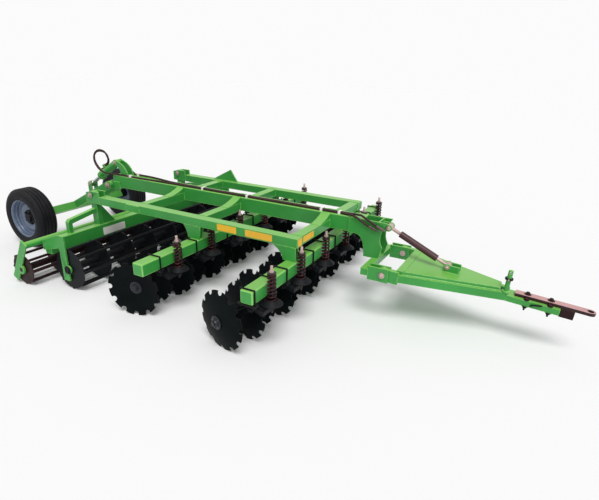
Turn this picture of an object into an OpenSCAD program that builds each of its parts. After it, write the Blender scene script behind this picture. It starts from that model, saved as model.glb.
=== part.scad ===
// Trailed disc harrow with two rows of sprung twin disc units, two bar rollers,
// a wheel carriage and a hinged drawbar. +X is the way it is towed, +Z is up.
// Lengthwise places are measured from the front row's spring axes.

/* [Main frame] */
// Width over the two side beams
frame_w = 1524; // [1300:4:1800]
// Width of a side beam
side_beam_w = 100; // [80:2:120]
// Height of a side beam
side_beam_h = 88; // [80:2:110]
// Front end of the side beams behind the front springs
side_front = 40; // [30:2:60]
// Rear end of the side beams behind the front springs
side_rear = 2620; // [2560:10:2660]
// Width of the centre beam
centre_w = 150; // [120:2:170]
// Height of the centre beam
centre_h = 155; // [140:1:180]
// Front end of the centre beam ahead of the front springs
centre_front = 300; // [240:10:340]
// Rear end of the centre beam behind the front springs
centre_rear = 3180; // [3140:10:3220]
// Thickness of the frame's plates
plate_t = 16; // [10:1:20]
// Length of the gusset from the centre beam along each cross tube
gusset_len = 230; // [150:5:300]

/* [Disc gangs] */
// Diameter of a disc
disc_d = 540; // [500:5:580]
// Thickness of a disc
disc_t = 6; // [4:0.5:8]
// Depth of a disc's dish
disc_dish = 48; // [36:1:56]
// Notches round a disc
notches = 12; // [8:1:14]
// Radius of a notch
notch_r = 27; // [20:1:34]
// Distance between the two discs of a unit
disc_pitch = 250; // [230:2:270]
// Angle of the discs to the way of travel
disc_yaw = 14; // [8:1:16]
// Disc units in a row
units = 6; // [4:1:6]
// Distance between the units of a row
unit_pitch = 500; // [480:5:540]
// Rear row behind the front row
row_pitch = 1125; // [1080:5:1200]
// Sideways shift of the rear row
row_shift = 125; // [110:1:140]
// Size of the square gang beams
gang_size = 120; // [100:2:130]
// Underside of the gang beams above the disc axles
gang_clear = 230; // [222:1:260]
// Gap between a disc's rim and its gang beam
rim_gap = 7; // [6:0.5:20]
// Height of the hangers between gang beams and side beams
hanger_h = 137; // [120:1:170]
// Front gang beam past the outer springs
front_overhang = 213; // [180:1:260]
// Rear gang beam past the outer spring on the wide side
rear_overhang = 400; // [360:1:440]

/* [Spring units] */
// Outer diameter of a coil spring
coil_d = 80; // [70:1:86]
// Diameter of the spring's wire
wire_d = 16; // [10:1:17]
// Turns of a coil spring
coil_turns = 7; // [5:1:8]
// Length of a coil spring
coil_len = 258; // [240:2:266]
// Spring axis ahead of the gang beam's middle
spring_ahead = 105; // [103:1:120]
// Diameter of the spring's rod
rod_d = 22; // [18:1:24]
// Diameter of the spring's seat
seat_d = 190; // [150:2:200]
// Top of the spring's seat below the gang beam
seat_drop = 43; // [36:1:50]
// Width of a unit's arm
arm_w = 60; // [50:1:64]
// Depth of a unit's arm
arm_h = 50; // [40:1:56]

/* [Mast and drawbar] */
// Height of the drawbar's pin above the ground
pin_z = 502; // [480:1:530]
// Drawbar's pin ahead of the front springs
pin_x = 628; // [600:1:660]
// Distance between the drawbar's two ears
ear_span = 646; // [560:2:700]
// Diameter of the drawbar's pins
pin_d = 40; // [30:1:44]
// Length of the drawbar's frame from its pin to the end of its nose
drawbar_len = 1470; // [1400:10:1540]
// Height of the drawbar's tubes
drawbar_h = 80; // [70:1:90]
// Width of the drawbar's tubes
drawbar_w = 50; // [40:1:54]
// Slope of the drawbar down to its eye
drawbar_tilt = 3.6; // [2:0.1:5]
// Hitch eye's centre from the drawbar's pin
eye_reach = 1687; // [1600:1:1800]
// Diameter of the hitch eye's hole
eye_d = 50; // [40:1:56]
// Width of the tongue
tongue_w = 80; // [76:1:100]
// Thickness of the tongue
tongue_t = 30; // [24:1:40]
// Top of the post above the drawbar's tubes
post_h = 205; // [150:1:230]

/* [Rollers] */
// Diameter of the front roller
front_roller_d = 460; // [420:5:480]
// Diameter of the rear roller
rear_roller_d = 360; // [320:5:380]
// Length of the front roller
front_roller_len = 2740; // [2500:10:2800]
// Length of the rear roller
rear_roller_len = 3110; // [2900:10:3140]
// Front roller's axle behind the front springs
front_roller_x = 2430; // [2400:5:2460]
// Rear roller's axle behind the front springs
rear_roller_x = 2960; // [2940:5:2980]
// Bars round a roller
roller_bars = 8; // [6:1:10]
// Ring plates along a roller
roller_rings = 9; // [6:1:11]
// Hinge of the roller frame behind the front springs
roller_pin_x = 2745; // [2730:1:2770]
// Height of the roller beam
roller_beam_h = 150; // [120:1:160]
// Underside of the roller beam above the ground
roller_beam_z = 345; // [335:1:360]

/* [Wheel carriage] */
// Diameter of a wheel
wheel_d = 760; // [700:5:800]
// Width of a tyre
tyre_w = 255; // [200:5:280]
// Diameter of a rim
rim_d = 456; // [400:4:480]
// Distance between the wheels' middles
wheel_track = 1510; // [1400:10:1600]
// Wheel axle behind the front springs
wheel_x = 4000; // [3950:5:4080]
// Carriage's pivot behind the front springs
pivot_x = 3218; // [3205:1:3240]
// Diameter of the lift cylinder's barrel
barrel_d = 100; // [80:1:110]
// Diameter of the lift cylinder's rod
piston_d = 50; // [40:1:56]

/* [Hidden] */
$fn = 48;
over = 2;
bend_steps = 6;
fit_gap = 0.4;
seat_gap = 0.3;

green = "limegreen";
black = "#1b1c1e";
steel = "silver";
brown = "#3c2a26";

// Heights of the frame, from the discs up
disc_r = disc_d / 2;
gang_z = disc_r + gang_clear;
gang_top = gang_z + gang_size;
side_z = gang_top + hanger_h;
side_top = side_z + side_beam_h;
centre_top = side_z + centre_h;
side_y = frame_w / 2;
side_in = side_y - side_beam_w;
centre_y = centre_w / 2;

// Places of the rows: [spring axis in X, first spring in Y, side that the discs' hollows face]
front_row = [0, -unit_pitch * (units - 1) / 2, 1];
rear_row = [-row_pitch, -unit_pitch * (units - 1) / 2 + row_shift, -1];
rows = [front_row, rear_row];

// Disc shaft behind the springs: the forward rim just clears the gang beam's lower edge
rim_back = sqrt(pow(disc_r + rim_gap, 2) - pow(gang_clear, 2)) * cos(disc_yaw);
rim_ahead = (disc_pitch / 2 + disc_dish) * sin(disc_yaw);
shaft_back = spring_ahead + gang_size / 2 + rim_back + rim_ahead;
shaft_side = disc_pitch / 2;
shaft_r = 22;
housing_r = 48;
housing_len = 120;
hub_r = 62;
hub_share = 0.7;
hub_gap = 6;
nut_len = 42;
nut_r = 34;
cap_share = 0.8;
notch_in = 8;

// Unit bracket, arm and rod
clamp_near = 190;
clamp_far = 90;
clamp_bar_w = 56;
bolt_r = 7;
clamp_lip = 26;
bracket_back = 30;
bolt_tip = 5;
ear_t = 14;
ear_play = 2;
pivot_back = 95;
pivot_drop = 60;
pivot_r = 14;
boss_r = 30;
// Step between the faces of welded pieces that stand at an angle to each other
weld_step = 1.5;
crossbar_drop = 85;
crossbar_h = 36;
seat_t = 14;
bell_lip = 6;
bell_gap = 6;
bell_t = 8;
bell_h = 25;
neck_w = 70;
washer_t = 8;
nut_h = 18;
rod_nut_r = 20;
tip_len = 40;
coil_steps = 8;
coil_sides = 6;

// Cross tubes, hangers and side plate: places behind the front springs
cross_w = 100;
cross_x = [100, 1200, 2020];
hanger_t = 14;
hanger_gap = 34;
gusset_share = 0.3;
pad_x = [2180, 1980];
pad_t = 8;
pad_edge = 6;
// Stay plate on the left side beam: its two ends and its peak behind the front springs, and its height
stay_x = [2157, 1759, 1868];
stay_h = 155;
front_hanger = [[58, 304], [58, 191]];
rear_hanger = [[1152, 1374], [1170, 1320]];

// Block between pairs of X, Y and Z limits
module block(x, y, z) {
    translate([min(x), min(y), min(z)])
        cube([max(x) - min(x), max(y) - min(y), max(z) - min(z)]);
}

// Plate with an outline in X and Z, between two Y limits
module plate_xz(outline, y) {
    translate([0, max(y), 0]) rotate([90, 0, 0]) linear_extrude(max(y) - min(y)) polygon(outline);
}

// Plate with an outline in Y and Z, between two X limits
module plate_yz(outline, x) {
    translate([min(x), 0, 0]) rotate([90, 0, 90]) linear_extrude(max(x) - min(x)) polygon(outline);
}

// Round bar along Y
module round_y(x, z, y, r) {
    translate([x, min(y), z]) rotate([-90, 0, 0]) cylinder(h = max(y) - min(y), r = r);
}

// Round bar along Z
module round_z(x, y, z, r) {
    translate([x, y, min(z)]) cylinder(h = max(z) - min(z), r = r);
}

// Local frame at a point in X and Z whose own X axis runs towards another such point
module along(p, q) {
    translate([p[0], 0, p[1]]) rotate([0, -atan2(q[1] - p[1], q[0] - p[0]), 0]) children();
}

// Points of a curve from p to r that leans towards q
function bend(p, q, r) = [for (i = [0 : bend_steps]) let (t = i / bend_steps)
    p * pow(1 - t, 2) + q * 2 * t * (1 - t) + r * pow(t, 2)];

module mirrored_y() {
    children();
    mirror([0, 1, 0]) children();
}

module placed() {
    translate([shift_x, 0, 0]) children();
}

// Main frame

module side_beams() {
    color(green) mirrored_y() {
        block([-side_rear, -side_front], [side_in, side_y], [side_z, side_top]);
        block([-pad_x[0], -pad_x[1]], [side_y, side_y + pad_t], [side_z + pad_edge, side_top - pad_edge]);
    }
}

module centre_beam() {
    color(green) block([-centre_rear, centre_front], [-centre_y, centre_y], [side_z, centre_top]);
}

module cross_tubes() {
    color(green) mirrored_y() for (x = cross_x)
        block([-x - cross_w / 2, -x + cross_w / 2], [centre_y, side_in], [side_z, side_top]);
}

// Hollow-backed gussets that brace the cross tubes against the centre beam, and the stay plate
module cross_gussets() {
    hollow = [centre_y + gusset_len * gusset_share, side_top + (centre_top - side_top) * gusset_share];
    stay_y = side_y - (side_beam_w - plate_t) / 2;
    color(green) {
        mirrored_y() for (x = cross_x)
            plate_yz(concat([[centre_y, side_top]],
                bend([centre_y + gusset_len, side_top], hollow, [centre_y, centre_top])),
                [-x - cross_w / 2, -x + cross_w / 2]);
        plate_xz([[-stay_x[0], side_top], [-stay_x[1], side_top], [-stay_x[2], side_top + stay_h]],
            [stay_y - plate_t, stay_y]);
    }
}

// Two plates with a hollow rear edge, joined by a web, from a side beam down to a gang beam
module hanger(limits) {
    for (y = [side_y - hanger_t, side_y - hanger_t * 2 - hanger_gap])
        plate_xz(concat([[-limits[0][0], side_z]], bend([-limits[0][1], side_z],
            [-limits[1][1], (side_z + gang_top) / 2], [-limits[1][1], gang_top]),
            [[-limits[1][0], gang_top]]), [y, y + hanger_t]);
    web_x = -(limits[1][0] + limits[1][1]) / 2;
    block([web_x - hanger_t / 2, web_x + hanger_t / 2],
        [side_y - hanger_t - hanger_gap, side_y - hanger_t], [gang_top, side_z]);
}

module gang_hangers() {
    color(green) mirrored_y() {
        hanger(front_hanger);
        hanger(rear_hanger);
    }
}

module gang_beam(row, y) {
    x = row[0] - spring_ahead;
    color(green) block([x - gang_size / 2, x + gang_size / 2], y, [gang_z, gang_top]);
}

module front_gang_beam() {
    end_y = -front_row[1] + front_overhang;
    gang_beam(front_row, [-end_y, end_y]);
}

module rear_gang_beam() {
    end_y = -rear_row[1] + rear_overhang;
    gang_beam(rear_row, [-end_y, end_y]);
}

// Sprung disc units

// Places its children at each unit's spring axis on the ground, for both rows
module at_units() {
    for (row = rows) for (i = [0 : units - 1])
        translate([row[0], row[1] + i * unit_pitch, 0]) children();
}

beam_back = spring_ahead + gang_size / 2;
beam_front = spring_ahead - gang_size / 2;
base_z = gang_z - plate_t;
pivot_z = gang_z - pivot_drop;
crossbar_z = gang_z - crossbar_drop;
seat_z = gang_z - seat_drop;
coil_r = (coil_d - wire_d) / 2;

module clamp_bar(y) {
    difference() {
        block([-beam_back - clamp_lip, -beam_front + clamp_lip],
            [y - clamp_bar_w / 2, y + clamp_bar_w / 2], [base_z, gang_z]);
        for (x = [-beam_back - bolt_r - seat_gap, -beam_front + bolt_r + seat_gap])
            round_z(x, y, [base_z - over, gang_z + over], bolt_r + seat_gap);
    }
}

// Plate under the gang beam with clamp bars, ears and pin for the arm, and the spring's bell-shaped seat
module unit_bracket() {
    clamp_bar(-clamp_near);
    clamp_bar(clamp_far);
    block([-beam_back + bracket_back, -beam_front],
        [-clamp_near + clamp_bar_w / 2, clamp_far - clamp_bar_w / 2], [base_z, gang_z]);
    ear_in = arm_w / 2 + ear_play;
    bell_in = coil_d / 2 + bell_gap;
    for (y = [-shaft_side - ear_in - ear_t, -shaft_side + ear_in]) {
        block([-pivot_back - boss_r, -pivot_back + boss_r], [y, y + ear_t], [pivot_z, base_z]);
        round_y(-pivot_back, pivot_z, [y, y + ear_t], boss_r);
    }
    round_y(-pivot_back, pivot_z, [-shaft_side - ear_in - ear_t, -shaft_side + ear_in + ear_t], pivot_r);
    difference() {
        union() {
            rotate_extrude() polygon([[0, seat_z - seat_t], [seat_d / 2, seat_z - seat_t],
                [seat_d / 2, seat_z - seat_t + bell_lip], [bell_in + bell_t, seat_z + bell_h],
                [bell_in, seat_z + bell_h], [bell_in, seat_z], [0, seat_z]]);
            block([-seat_d / 2 + seat_t, -beam_front], [-neck_w / 2, neck_w / 2], [seat_z, base_z]);
        }
        round_z(0, 0, [seat_z - seat_t - over, seat_z + over], rod_d / 2 + fit_gap);
    }
}

module unit_brackets() {
    color(black) at_units() unit_bracket();
}

// Round clamp bolt over the gang beam with its nuts below the bar
module clamp_bolt() {
    back = -beam_back - bolt_r - seat_gap;
    front = -beam_front + bolt_r + seat_gap;
    top = gang_top + bolt_r + seat_gap;
    for (x = [back, front]) {
        round_z(x, 0, [base_z - nut_h - bolt_tip, top], bolt_r);
        translate([x, 0, top]) sphere(bolt_r);
        translate([x, 0, base_z - nut_h]) cylinder(h = nut_h, r = bolt_r * 2, $fn = 6);
    }
    translate([back, 0, top]) rotate([0, 90, 0]) cylinder(h = front - back, r = bolt_r);
}

module unit_clamps() {
    color(black) at_units() for (y = [-clamp_near, clamp_far]) translate([0, y, 0]) clamp_bolt();
}

module at_shaft(side) {
    translate([-shaft_back, -shaft_side, disc_r]) rotate([0, 0, -side * disc_yaw]) children();
}

// Rocking arm: disc bearing behind, pivot under the beam, cross bar for the spring's rod ahead
module unit_arm(side) {
    difference() {
        union() {
            at_shaft(side) rotate([-90, 0, 0]) cylinder(h = housing_len, r = housing_r, center = true);
            translate([0, -shaft_side, 0]) {
                along([-shaft_back, disc_r], [-pivot_back, pivot_z])
                    block([0, norm([shaft_back - pivot_back, pivot_z - disc_r])],
                        [weld_step - arm_w / 2, arm_w / 2 - weld_step], [-arm_h / 2, arm_h / 2]);
                round_y(-pivot_back, pivot_z, [-arm_w / 2, arm_w / 2], boss_r);
                along([-pivot_back, pivot_z], [0, crossbar_z])
                    block([0, norm([pivot_back, pivot_z - crossbar_z])],
                        [weld_step * 2 - arm_w / 2, arm_w / 2 - weld_step * 2],
                        [-crossbar_h / 2, crossbar_h / 2]);
            }
            block([-crossbar_h / 2, crossbar_h / 2], [-shaft_side - arm_w / 2, arm_w / 2],
                [crossbar_z - crossbar_h / 2, crossbar_z + crossbar_h / 2]);
        }
        at_shaft(side) rotate([-90, 0, 0])
            cylinder(h = housing_len + over, r = shaft_r + fit_gap, center = true);
        round_y(-pivot_back, pivot_z, [-shaft_side - arm_w, -shaft_side + arm_w], pivot_r + fit_gap);
        round_z(0, 0, [crossbar_z - crossbar_h, crossbar_z + crossbar_h], rod_d / 2 + fit_gap);
    }
}

module unit_arms() {
    color(black) for (row = rows) for (i = [0 : units - 1])
        translate([row[0], row[1] + i * unit_pitch, 0]) unit_arm(row[2]);
}

// Coil on its seat, as a wire swept along a helix
module coil_spring() {
    wire_up = wire_d / 2 * cos(180 / coil_sides);
    rise = (coil_len - wire_up * 2) / coil_turns;
    steps = coil_turns * coil_steps;
    sweep([for (i = [0 : steps]) let (a = i * 360 / coil_steps)
        [coil_r * cos(a), coil_r * sin(a), seat_z + seat_gap + wire_up + rise * i / coil_steps]],
        wire_d / 2, coil_sides, [0, 0, 1]);
}

module unit_springs() {
    color("#2a2222") at_units() coil_spring();
}

// Spring's rod with its top washer, nuts and threaded tip
module unit_rod() {
    washer_z = seat_z + seat_gap * 2 + coil_len;
    low_z = crossbar_z - crossbar_h / 2 - nut_h;
    round_z(0, 0, [low_z - tip_len / 2, washer_z + washer_t + nut_h + tip_len], rod_d / 2);
    round_z(0, 0, [washer_z, washer_z + washer_t], coil_d / 2 - ear_play);
    for (z = [low_z, washer_z + washer_t])
        translate([0, 0, z]) cylinder(h = nut_h, r = rod_nut_r, $fn = 6);
}

module unit_rods() {
    color("#4a3a34") at_units() unit_rod();
}

// Dished disc with its hollow facing +Z
module notched_disc() {
    ball_r = (pow(disc_r, 2) + pow(disc_dish, 2)) / (2 * disc_dish);
    difference() {
        rotate_extrude($fn = 96) intersection() {
            translate([0, ball_r]) difference() {
                circle(r = ball_r, $fn = 720);
                circle(r = ball_r - disc_t, $fn = 720);
            }
            square([disc_r, disc_dish + disc_t]);
        }
        for (i = [0 : notches - 1]) rotate([0, 0, i * 360 / notches])
            translate([disc_r - notch_in, 0, 0]) cylinder(h = disc_dish + disc_t * 2, r = notch_r);
    }
}

// Two discs on their shaft, with hubs and tapered end caps
module disc_pair(side) {
    at_shaft(side) rotate([side * -90, 0, 0]) {
        cylinder(h = disc_pitch + nut_len * 2, r = shaft_r, center = true);
        for (end = [-1, 1]) {
            translate([0, 0, end * disc_pitch / 2]) notched_disc();
            hub_low = housing_len / 2 + hub_gap;
            translate([0, 0, end > 0 ? hub_low : -disc_pitch / 2])
                cylinder(h = disc_pitch / 2 - hub_low, r = hub_r * hub_share);
            translate([0, 0, end > 0 ? disc_pitch / 2 : -disc_pitch / 2 - disc_t])
                cylinder(h = disc_t * 2, r = hub_r);
            translate([0, 0, end > 0 ? disc_pitch / 2 : -disc_pitch / 2 - nut_len * 3 / 4])
                cylinder(h = nut_len * 3 / 4, r1 = end > 0 ? nut_r : nut_r * cap_share,
                    r2 = end > 0 ? nut_r * cap_share : nut_r);
        }
    }
}

module unit_discs(row, i) {
    color(black) translate([row[0], row[1] + i * unit_pitch, 0]) disc_pair(row[2]);
}

// Mast, headstock and drawbar

headstock_w = 70;
headstock_back = 138;
headstock_x = pin_x - headstock_back;
headstock_z = [pin_z - headstock_w / 2, pin_z + headstock_w / 2];
ear_y = ear_span / 2;
lug_gap = 3;
lug_t = 16;
lug_reach = 62;
lug_h = 136;
lug_in = drawbar_w / 2 + lug_gap;
lug_out = lug_in + lug_t;
// Mast's side plates ahead of the front springs: rear end on the beam, heel under it, shank,
// throat, front and toe
mast_rear = 160;
mast_heel = 225;
mast_shank = 335;
mast_throat = 450;
mast_front = 552;
mast_toe = 520;
toe_up = 113;
chest_up = 20;
mast_nose = headstock_x - plate_t;
mast_low = pin_z + headstock_w / 2;
mast_chest_z = side_z + chest_up;
// Turnbuckle's pins as [X, Z]
link_top = [553, 854];
link_pin_r = 12;
link_eye_w = 60;
link_lug_t = 16;
link_lug_r = 34;
link_gap = 4;
link_in = link_eye_w / 2 + link_gap;

// Two side plates from the centre beam down to the headstock, with the turnbuckle's lugs in front
module mast() {
    outline = concat([[mast_rear, side_z], [mast_rear, centre_top]],
        bend([mast_front, centre_top], [mast_throat, side_z], [mast_toe, mast_low + toe_up]),
        [[headstock_x, mast_low]], bend([mast_shank, mast_low], [mast_shank, side_z], [mast_heel, side_z]));
    color(green) {
        mirrored_y() plate_xz(outline, [centre_y, centre_y + plate_t]);
        block([mast_nose - plate_t, mast_nose], [-centre_y, centre_y], [mast_chest_z, centre_top]);
        mirrored_y() {
            block([mast_nose, link_top[0]], [link_in, link_in + link_lug_t],
                [link_top[1] - link_lug_r, link_top[1] + link_lug_r]);
            round_y(link_top[0], link_top[1], [link_in, link_in + link_lug_t], link_lug_r);
        }
        round_y(link_top[0], link_top[1], [-link_in - link_lug_t, link_in + link_lug_t], link_pin_r);
    }
}

// Cross beam at the mast's foot with a clevis for each drawbar ear
module headstock() {
    end_y = ear_y + lug_out;
    color(green) difference() {
        union() {
            block([headstock_x - headstock_w, headstock_x], [-end_y, end_y], headstock_z);
            mirrored_y() for (y = [ear_y - lug_out, ear_y + lug_in])
                block([headstock_x, pin_x + lug_reach], [y, y + lug_t],
                    [pin_z - lug_h / 2, pin_z + lug_h / 2]);
        }
        round_y(pin_x, pin_z, [-end_y - over, end_y + over], pin_d / 2 + fit_gap / 2);
    }
}

pin_head_r = 30;
pin_head_t = 10;
module headstock_pins() {
    color(steel) mirrored_y() {
        round_y(pin_x, pin_z, [ear_y - lug_out - pin_head_t, ear_y + lug_out + pin_head_t], pin_d / 2);
        for (y = [ear_y - lug_out - pin_head_t, ear_y + lug_out])
            round_y(pin_x, pin_z, [y, y + pin_head_t], pin_head_r);
    }
}

// Drawbar's own frame: X along it from the pin, Z square to its deck
module drawbar_place() {
    translate([pin_x, 0, pin_z]) rotate([0, drawbar_tilt, 0]) children();
}

deck_t = 28;
deck_short = 70;
ear_h = 120;
ear_r = 64;
ear_straight = 120;
nose_y = 48;
nose_len = 420;
nose_w = 150;
cross_bar_at = 120;
cross_bar_w = 60;
cross_bar_up = 8;
link_ahead = 110;
link_top_share = 0.8;
// Turnbuckle's lower pin from the drawbar's pin as [along, above]
link_low = [504, 110];
tongue_n = 30;
tongue_low = tongue_n - tongue_t / 2;
tongue_lap = 364;
nose_at = drawbar_len - nose_len;

module drawbar_frame() {
    half = drawbar_h / 2;
    run = nose_at - ear_straight;
    swing = atan2(ear_y - nose_y, run);
    deck_end_y = nose_y + deck_short * (ear_y - nose_y) / run;
    color(green) drawbar_place() difference() {
        union() {
            mirrored_y() {
                round_y(0, 0, [ear_y - drawbar_w / 2, ear_y + drawbar_w / 2], ear_r);
                block([0, ear_straight + drawbar_w / 2], [ear_y - drawbar_w / 2, ear_y + drawbar_w / 2],
                    [-ear_h / 2, ear_h / 2]);
                translate([ear_straight, ear_y, 0]) rotate([0, 0, -swing])
                    block([0, norm([run, ear_y - nose_y])], [-drawbar_w / 2, drawbar_w / 2],
                        [weld_step - half, half - weld_step]);
            }
            block([cross_bar_at, cross_bar_at + cross_bar_w], [-ear_y, ear_y],
                [weld_step * 2 - half, half + deck_t + cross_bar_up]);
            block([nose_at, drawbar_len], [-nose_w / 2, nose_w / 2], [-half, tongue_low]);
            translate([0, 0, half - weld_step * 3]) linear_extrude(deck_t + weld_step * 3)
                polygon([[ear_straight, ear_y], [ear_straight, -ear_y],
                    [nose_at - deck_short, -deck_end_y], [nose_at - deck_short, deck_end_y]]);
            mirrored_y() {
                block([link_low[0] - link_lug_r, link_low[0]], [link_in, link_in + link_lug_t],
                    [half + deck_t - weld_step, link_low[1]]);
                block([link_low[0], link_low[0] + link_ahead], [link_in, link_in + link_lug_t],
                    [half + deck_t - weld_step, link_low[1] + link_lug_r * link_top_share]);
                round_y(link_low[0], link_low[1], [link_in, link_in + link_lug_t], link_lug_r);
            }
            round_y(link_low[0], link_low[1], [-link_in - link_lug_t, link_in + link_lug_t], link_pin_r);
        }
        round_y(0, 0, [-ear_y - drawbar_w, ear_y + drawbar_w], pin_d / 2 + fit_gap);
    }
}

// Flat bar with the hitch eye, lying on the drawbar's nose and the channel ahead of it
module tongue() {
    top = tongue_low + tongue_t;
    color("#b08078") drawbar_place() difference() {
        union() {
            block([drawbar_len - tongue_lap, eye_reach], [-tongue_w / 2, tongue_w / 2],
                [tongue_low, top]);
            round_z(eye_reach, 0, [tongue_low, top], tongue_w / 2);
        }
        round_z(eye_reach, 0, [tongue_low - over, top + over], eye_d / 2);
    }
}

channel_len = 110;
channel_drop = 20;
channel_wall = 10;
channel_side = 6;
module tongue_channel() {
    low = -drawbar_h / 2 - channel_drop;
    wide = tongue_w / 2 + channel_side;
    color(brown) drawbar_place() difference() {
        block([drawbar_len, drawbar_len + channel_len], [-wide, wide], [low, tongue_low]);
        block([drawbar_len + channel_wall, drawbar_len + channel_len + over],
            [-wide + channel_wall, wide - channel_wall], [low - over, tongue_low - channel_wall]);
    }
}

post_back = 20;
post_y = -60;
post_r = 20;
ring_r = 32;
ring_h = 16;
ring_up = 120;
post_foot_r = 34;
post_foot_t = 12;
module drawbar_post() {
    low = drawbar_h / 2 - weld_step;
    color(green) drawbar_place() translate([nose_at - post_back, post_y, 0]) difference() {
        union() {
            round_z(0, 0, [low, low + post_foot_t], post_foot_r);
            round_z(0, 0, [low, low + post_h], post_r);
            round_z(0, 0, [low + ring_up, low + ring_up + ring_h], ring_r);
        }
        round_y(0, low + post_h - post_r, [-post_foot_r, post_foot_r], post_r / 2);
    }
}

// Turnbuckle between mast and drawbar, its tube hung on the mast and its rod on the drawbar
link_base = [pin_x + link_low[0] * cos(drawbar_tilt) + link_low[1] * sin(drawbar_tilt),
    pin_z - link_low[0] * sin(drawbar_tilt) + link_low[1] * cos(drawbar_tilt)];
link_len = norm([link_base[0] - link_top[0], link_base[1] - link_top[1]]);
link_tube_r = 32;
link_tube_at = 120;
link_tube_len = 407;
link_rod_r = 16;
link_rod_in = 150;
link_eye_r = 32;
link_play = 3;

module link_place() {
    along(link_top, link_base) children();
}

module round_x(x, r) {
    translate([min(x), 0, 0]) rotate([0, 90, 0]) cylinder(h = max(x) - min(x), r = r);
}

module turnbuckle_tube() {
    tube_end = link_tube_at + link_tube_len;
    color(brown) link_place() difference() {
        union() {
            round_y(0, 0, [-link_eye_w / 2, link_eye_w / 2], link_eye_r);
            round_x([0, link_tube_at], link_rod_r);
            round_x([link_tube_at, tube_end], link_tube_r);
        }
        round_y(0, 0, [-link_eye_w, link_eye_w], link_pin_r + fit_gap);
        round_x([tube_end - link_rod_in * 3 / 2, tube_end + over], link_rod_r + fit_gap);
    }
}

module turnbuckle_rod() {
    tube_end = link_tube_at + link_tube_len;
    color(brown) link_place() difference() {
        union() {
            round_x([tube_end - link_rod_in, link_len], link_rod_r);
            round_y(link_len, 0, [-link_eye_w / 2, link_eye_w / 2], link_eye_r);
        }
        round_y(link_len, 0, [-link_eye_w, link_eye_w], link_pin_r + link_play);
    }
}

// Wheel carriage and lift cylinder

pivot_up = 26;
pivot = [-pivot_x, side_z + pivot_up];
pivot_pin_r = 22;
lug_round = 48;
lug_root = 130;
axle = [-wheel_x, wheel_d / 2];
arm_in = centre_y + plate_t + lug_gap;
carriage_arm_w = 44;
carriage_arm_h = 100;
lever_pin = [-3700, 717];
lever_pin_r = 15;
lever_in = 36;
arm_end_share = 0.5;
lever_t = 16;
lever_r = 34;
tie_r = 40;
axle_beam_w = 100;
stub_r = 30;
hub_in = 75;
hub_face = 30;
hub_out_r = 62;
horn_pin = [-3144, 1069];
horn_pin_r = 15;
horn_r = 36;
horn_foot = [3060, 2925];
horn_edge_share = 0.9;
horn_lean = 30;
barrel_len = 420;
barrel_eye_r = 34;
barrel_eye_w = 64;
gland_len = 40;
gland_side = 8;
rod_play = 10;
rod_eye_r = 42;
rod_deep = 260;
eye_neck_share = 0.8;
// Hose ports on the barrel: start along it and sideways place
ports = [[220.2, -20], [365.6, 20]];
port_size = [40, 40, 36];
port_up = 68;
port_root_share = 0.8;

// Plates on the centre beam's end that hold the carriage's pivot pin
module carriage_lugs() {
    color(green) {
        mirrored_y() difference() {
            union() {
                block([pivot[0], -centre_rear + lug_root], [centre_y, centre_y + plate_t],
                    [pivot[1] - lug_round, pivot[1] + lug_round]);
                round_y(pivot[0], pivot[1], [centre_y, centre_y + plate_t], lug_round);
            }
            round_y(pivot[0], pivot[1], [centre_y - over, centre_y + plate_t + over],
                pivot_pin_r + fit_gap / 2);
        }
        pin_end = arm_in + carriage_arm_w + pin_head_t;
        round_y(pivot[0], pivot[1], [-pin_end, pin_end], pivot_pin_r);
    }
}

// Two side arms, the tie between them and the lever for the lift cylinder
module carriage_arms() {
    reach = norm(axle - pivot);
    share = (lever_pin[0] - pivot[0]) / (axle[0] - pivot[0]);
    tie = pivot + (axle - pivot) * share;
    color(green) {
        difference() {
            union() {
                mirrored_y() {
                    round_y(pivot[0], pivot[1], [arm_in, arm_in + carriage_arm_w], lug_round);
                    along(pivot, axle) block([0, reach - axle_beam_w * arm_end_share],
                        [arm_in + weld_step, arm_in + carriage_arm_w - weld_step],
                        [-carriage_arm_h / 2, carriage_arm_h / 2]);
                }
                round_y(tie[0], tie[1], [-arm_in - carriage_arm_w / 2, arm_in + carriage_arm_w / 2], tie_r);
                mirrored_y() {
                    block([lever_pin[0] - lever_r, lever_pin[0] + lever_r], [lever_in, lever_in + lever_t],
                        [tie[1], lever_pin[1]]);
                    round_y(lever_pin[0], lever_pin[1], [lever_in, lever_in + lever_t], lever_r);
                }
            }
            round_y(pivot[0], pivot[1], [-arm_in - carriage_arm_w - over, arm_in + carriage_arm_w + over],
                pivot_pin_r + fit_gap);
        }
        round_y(lever_pin[0], lever_pin[1], [-lever_in - lever_t, lever_in + lever_t], lever_pin_r);
    }
}

module axle_beam() {
    track = wheel_track / 2;
    end_y = track - hub_in - lug_gap * 2;
    stub_y = track + hub_face + pin_head_t;
    color(green) {
        along(axle, pivot) block([-axle_beam_w / 2, axle_beam_w / 2], [-end_y, end_y],
            [-axle_beam_w / 2, axle_beam_w / 2]);
        round_y(axle[0], axle[1], [-stub_y, stub_y], stub_r);
    }
}

rim_lip = 14;
rim_t = 8;
rim_dish = 8;
tyre_round = 46;
rib_depth = 8;
rib_w = 10;
ribs = 4;

// Pressed wheel: hub, dished web and rim with a lip at each side
module rim() {
    r = rim_d / 2;
    w = tyre_w / 2 - rim_lip;
    color("#8793a0") rotate([90, 0, 0]) difference() {
        rotate_extrude($fn = 96) {
            translate([r - rim_t, -w]) square([rim_t, w * 2]);
            for (z = [-w, w - rim_t]) translate([r - rim_t, z]) square([rim_t + rim_lip, rim_t]);
            translate([hub_out_r - rim_t, rim_dish]) square([r - hub_out_r + rim_t, rim_t]);
            translate([0, -hub_in]) square([hub_out_r, hub_in + hub_face]);
        }
        round_z(0, 0, [-hub_in - over, hub_face + over], stub_r + fit_gap);
    }
}

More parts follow.
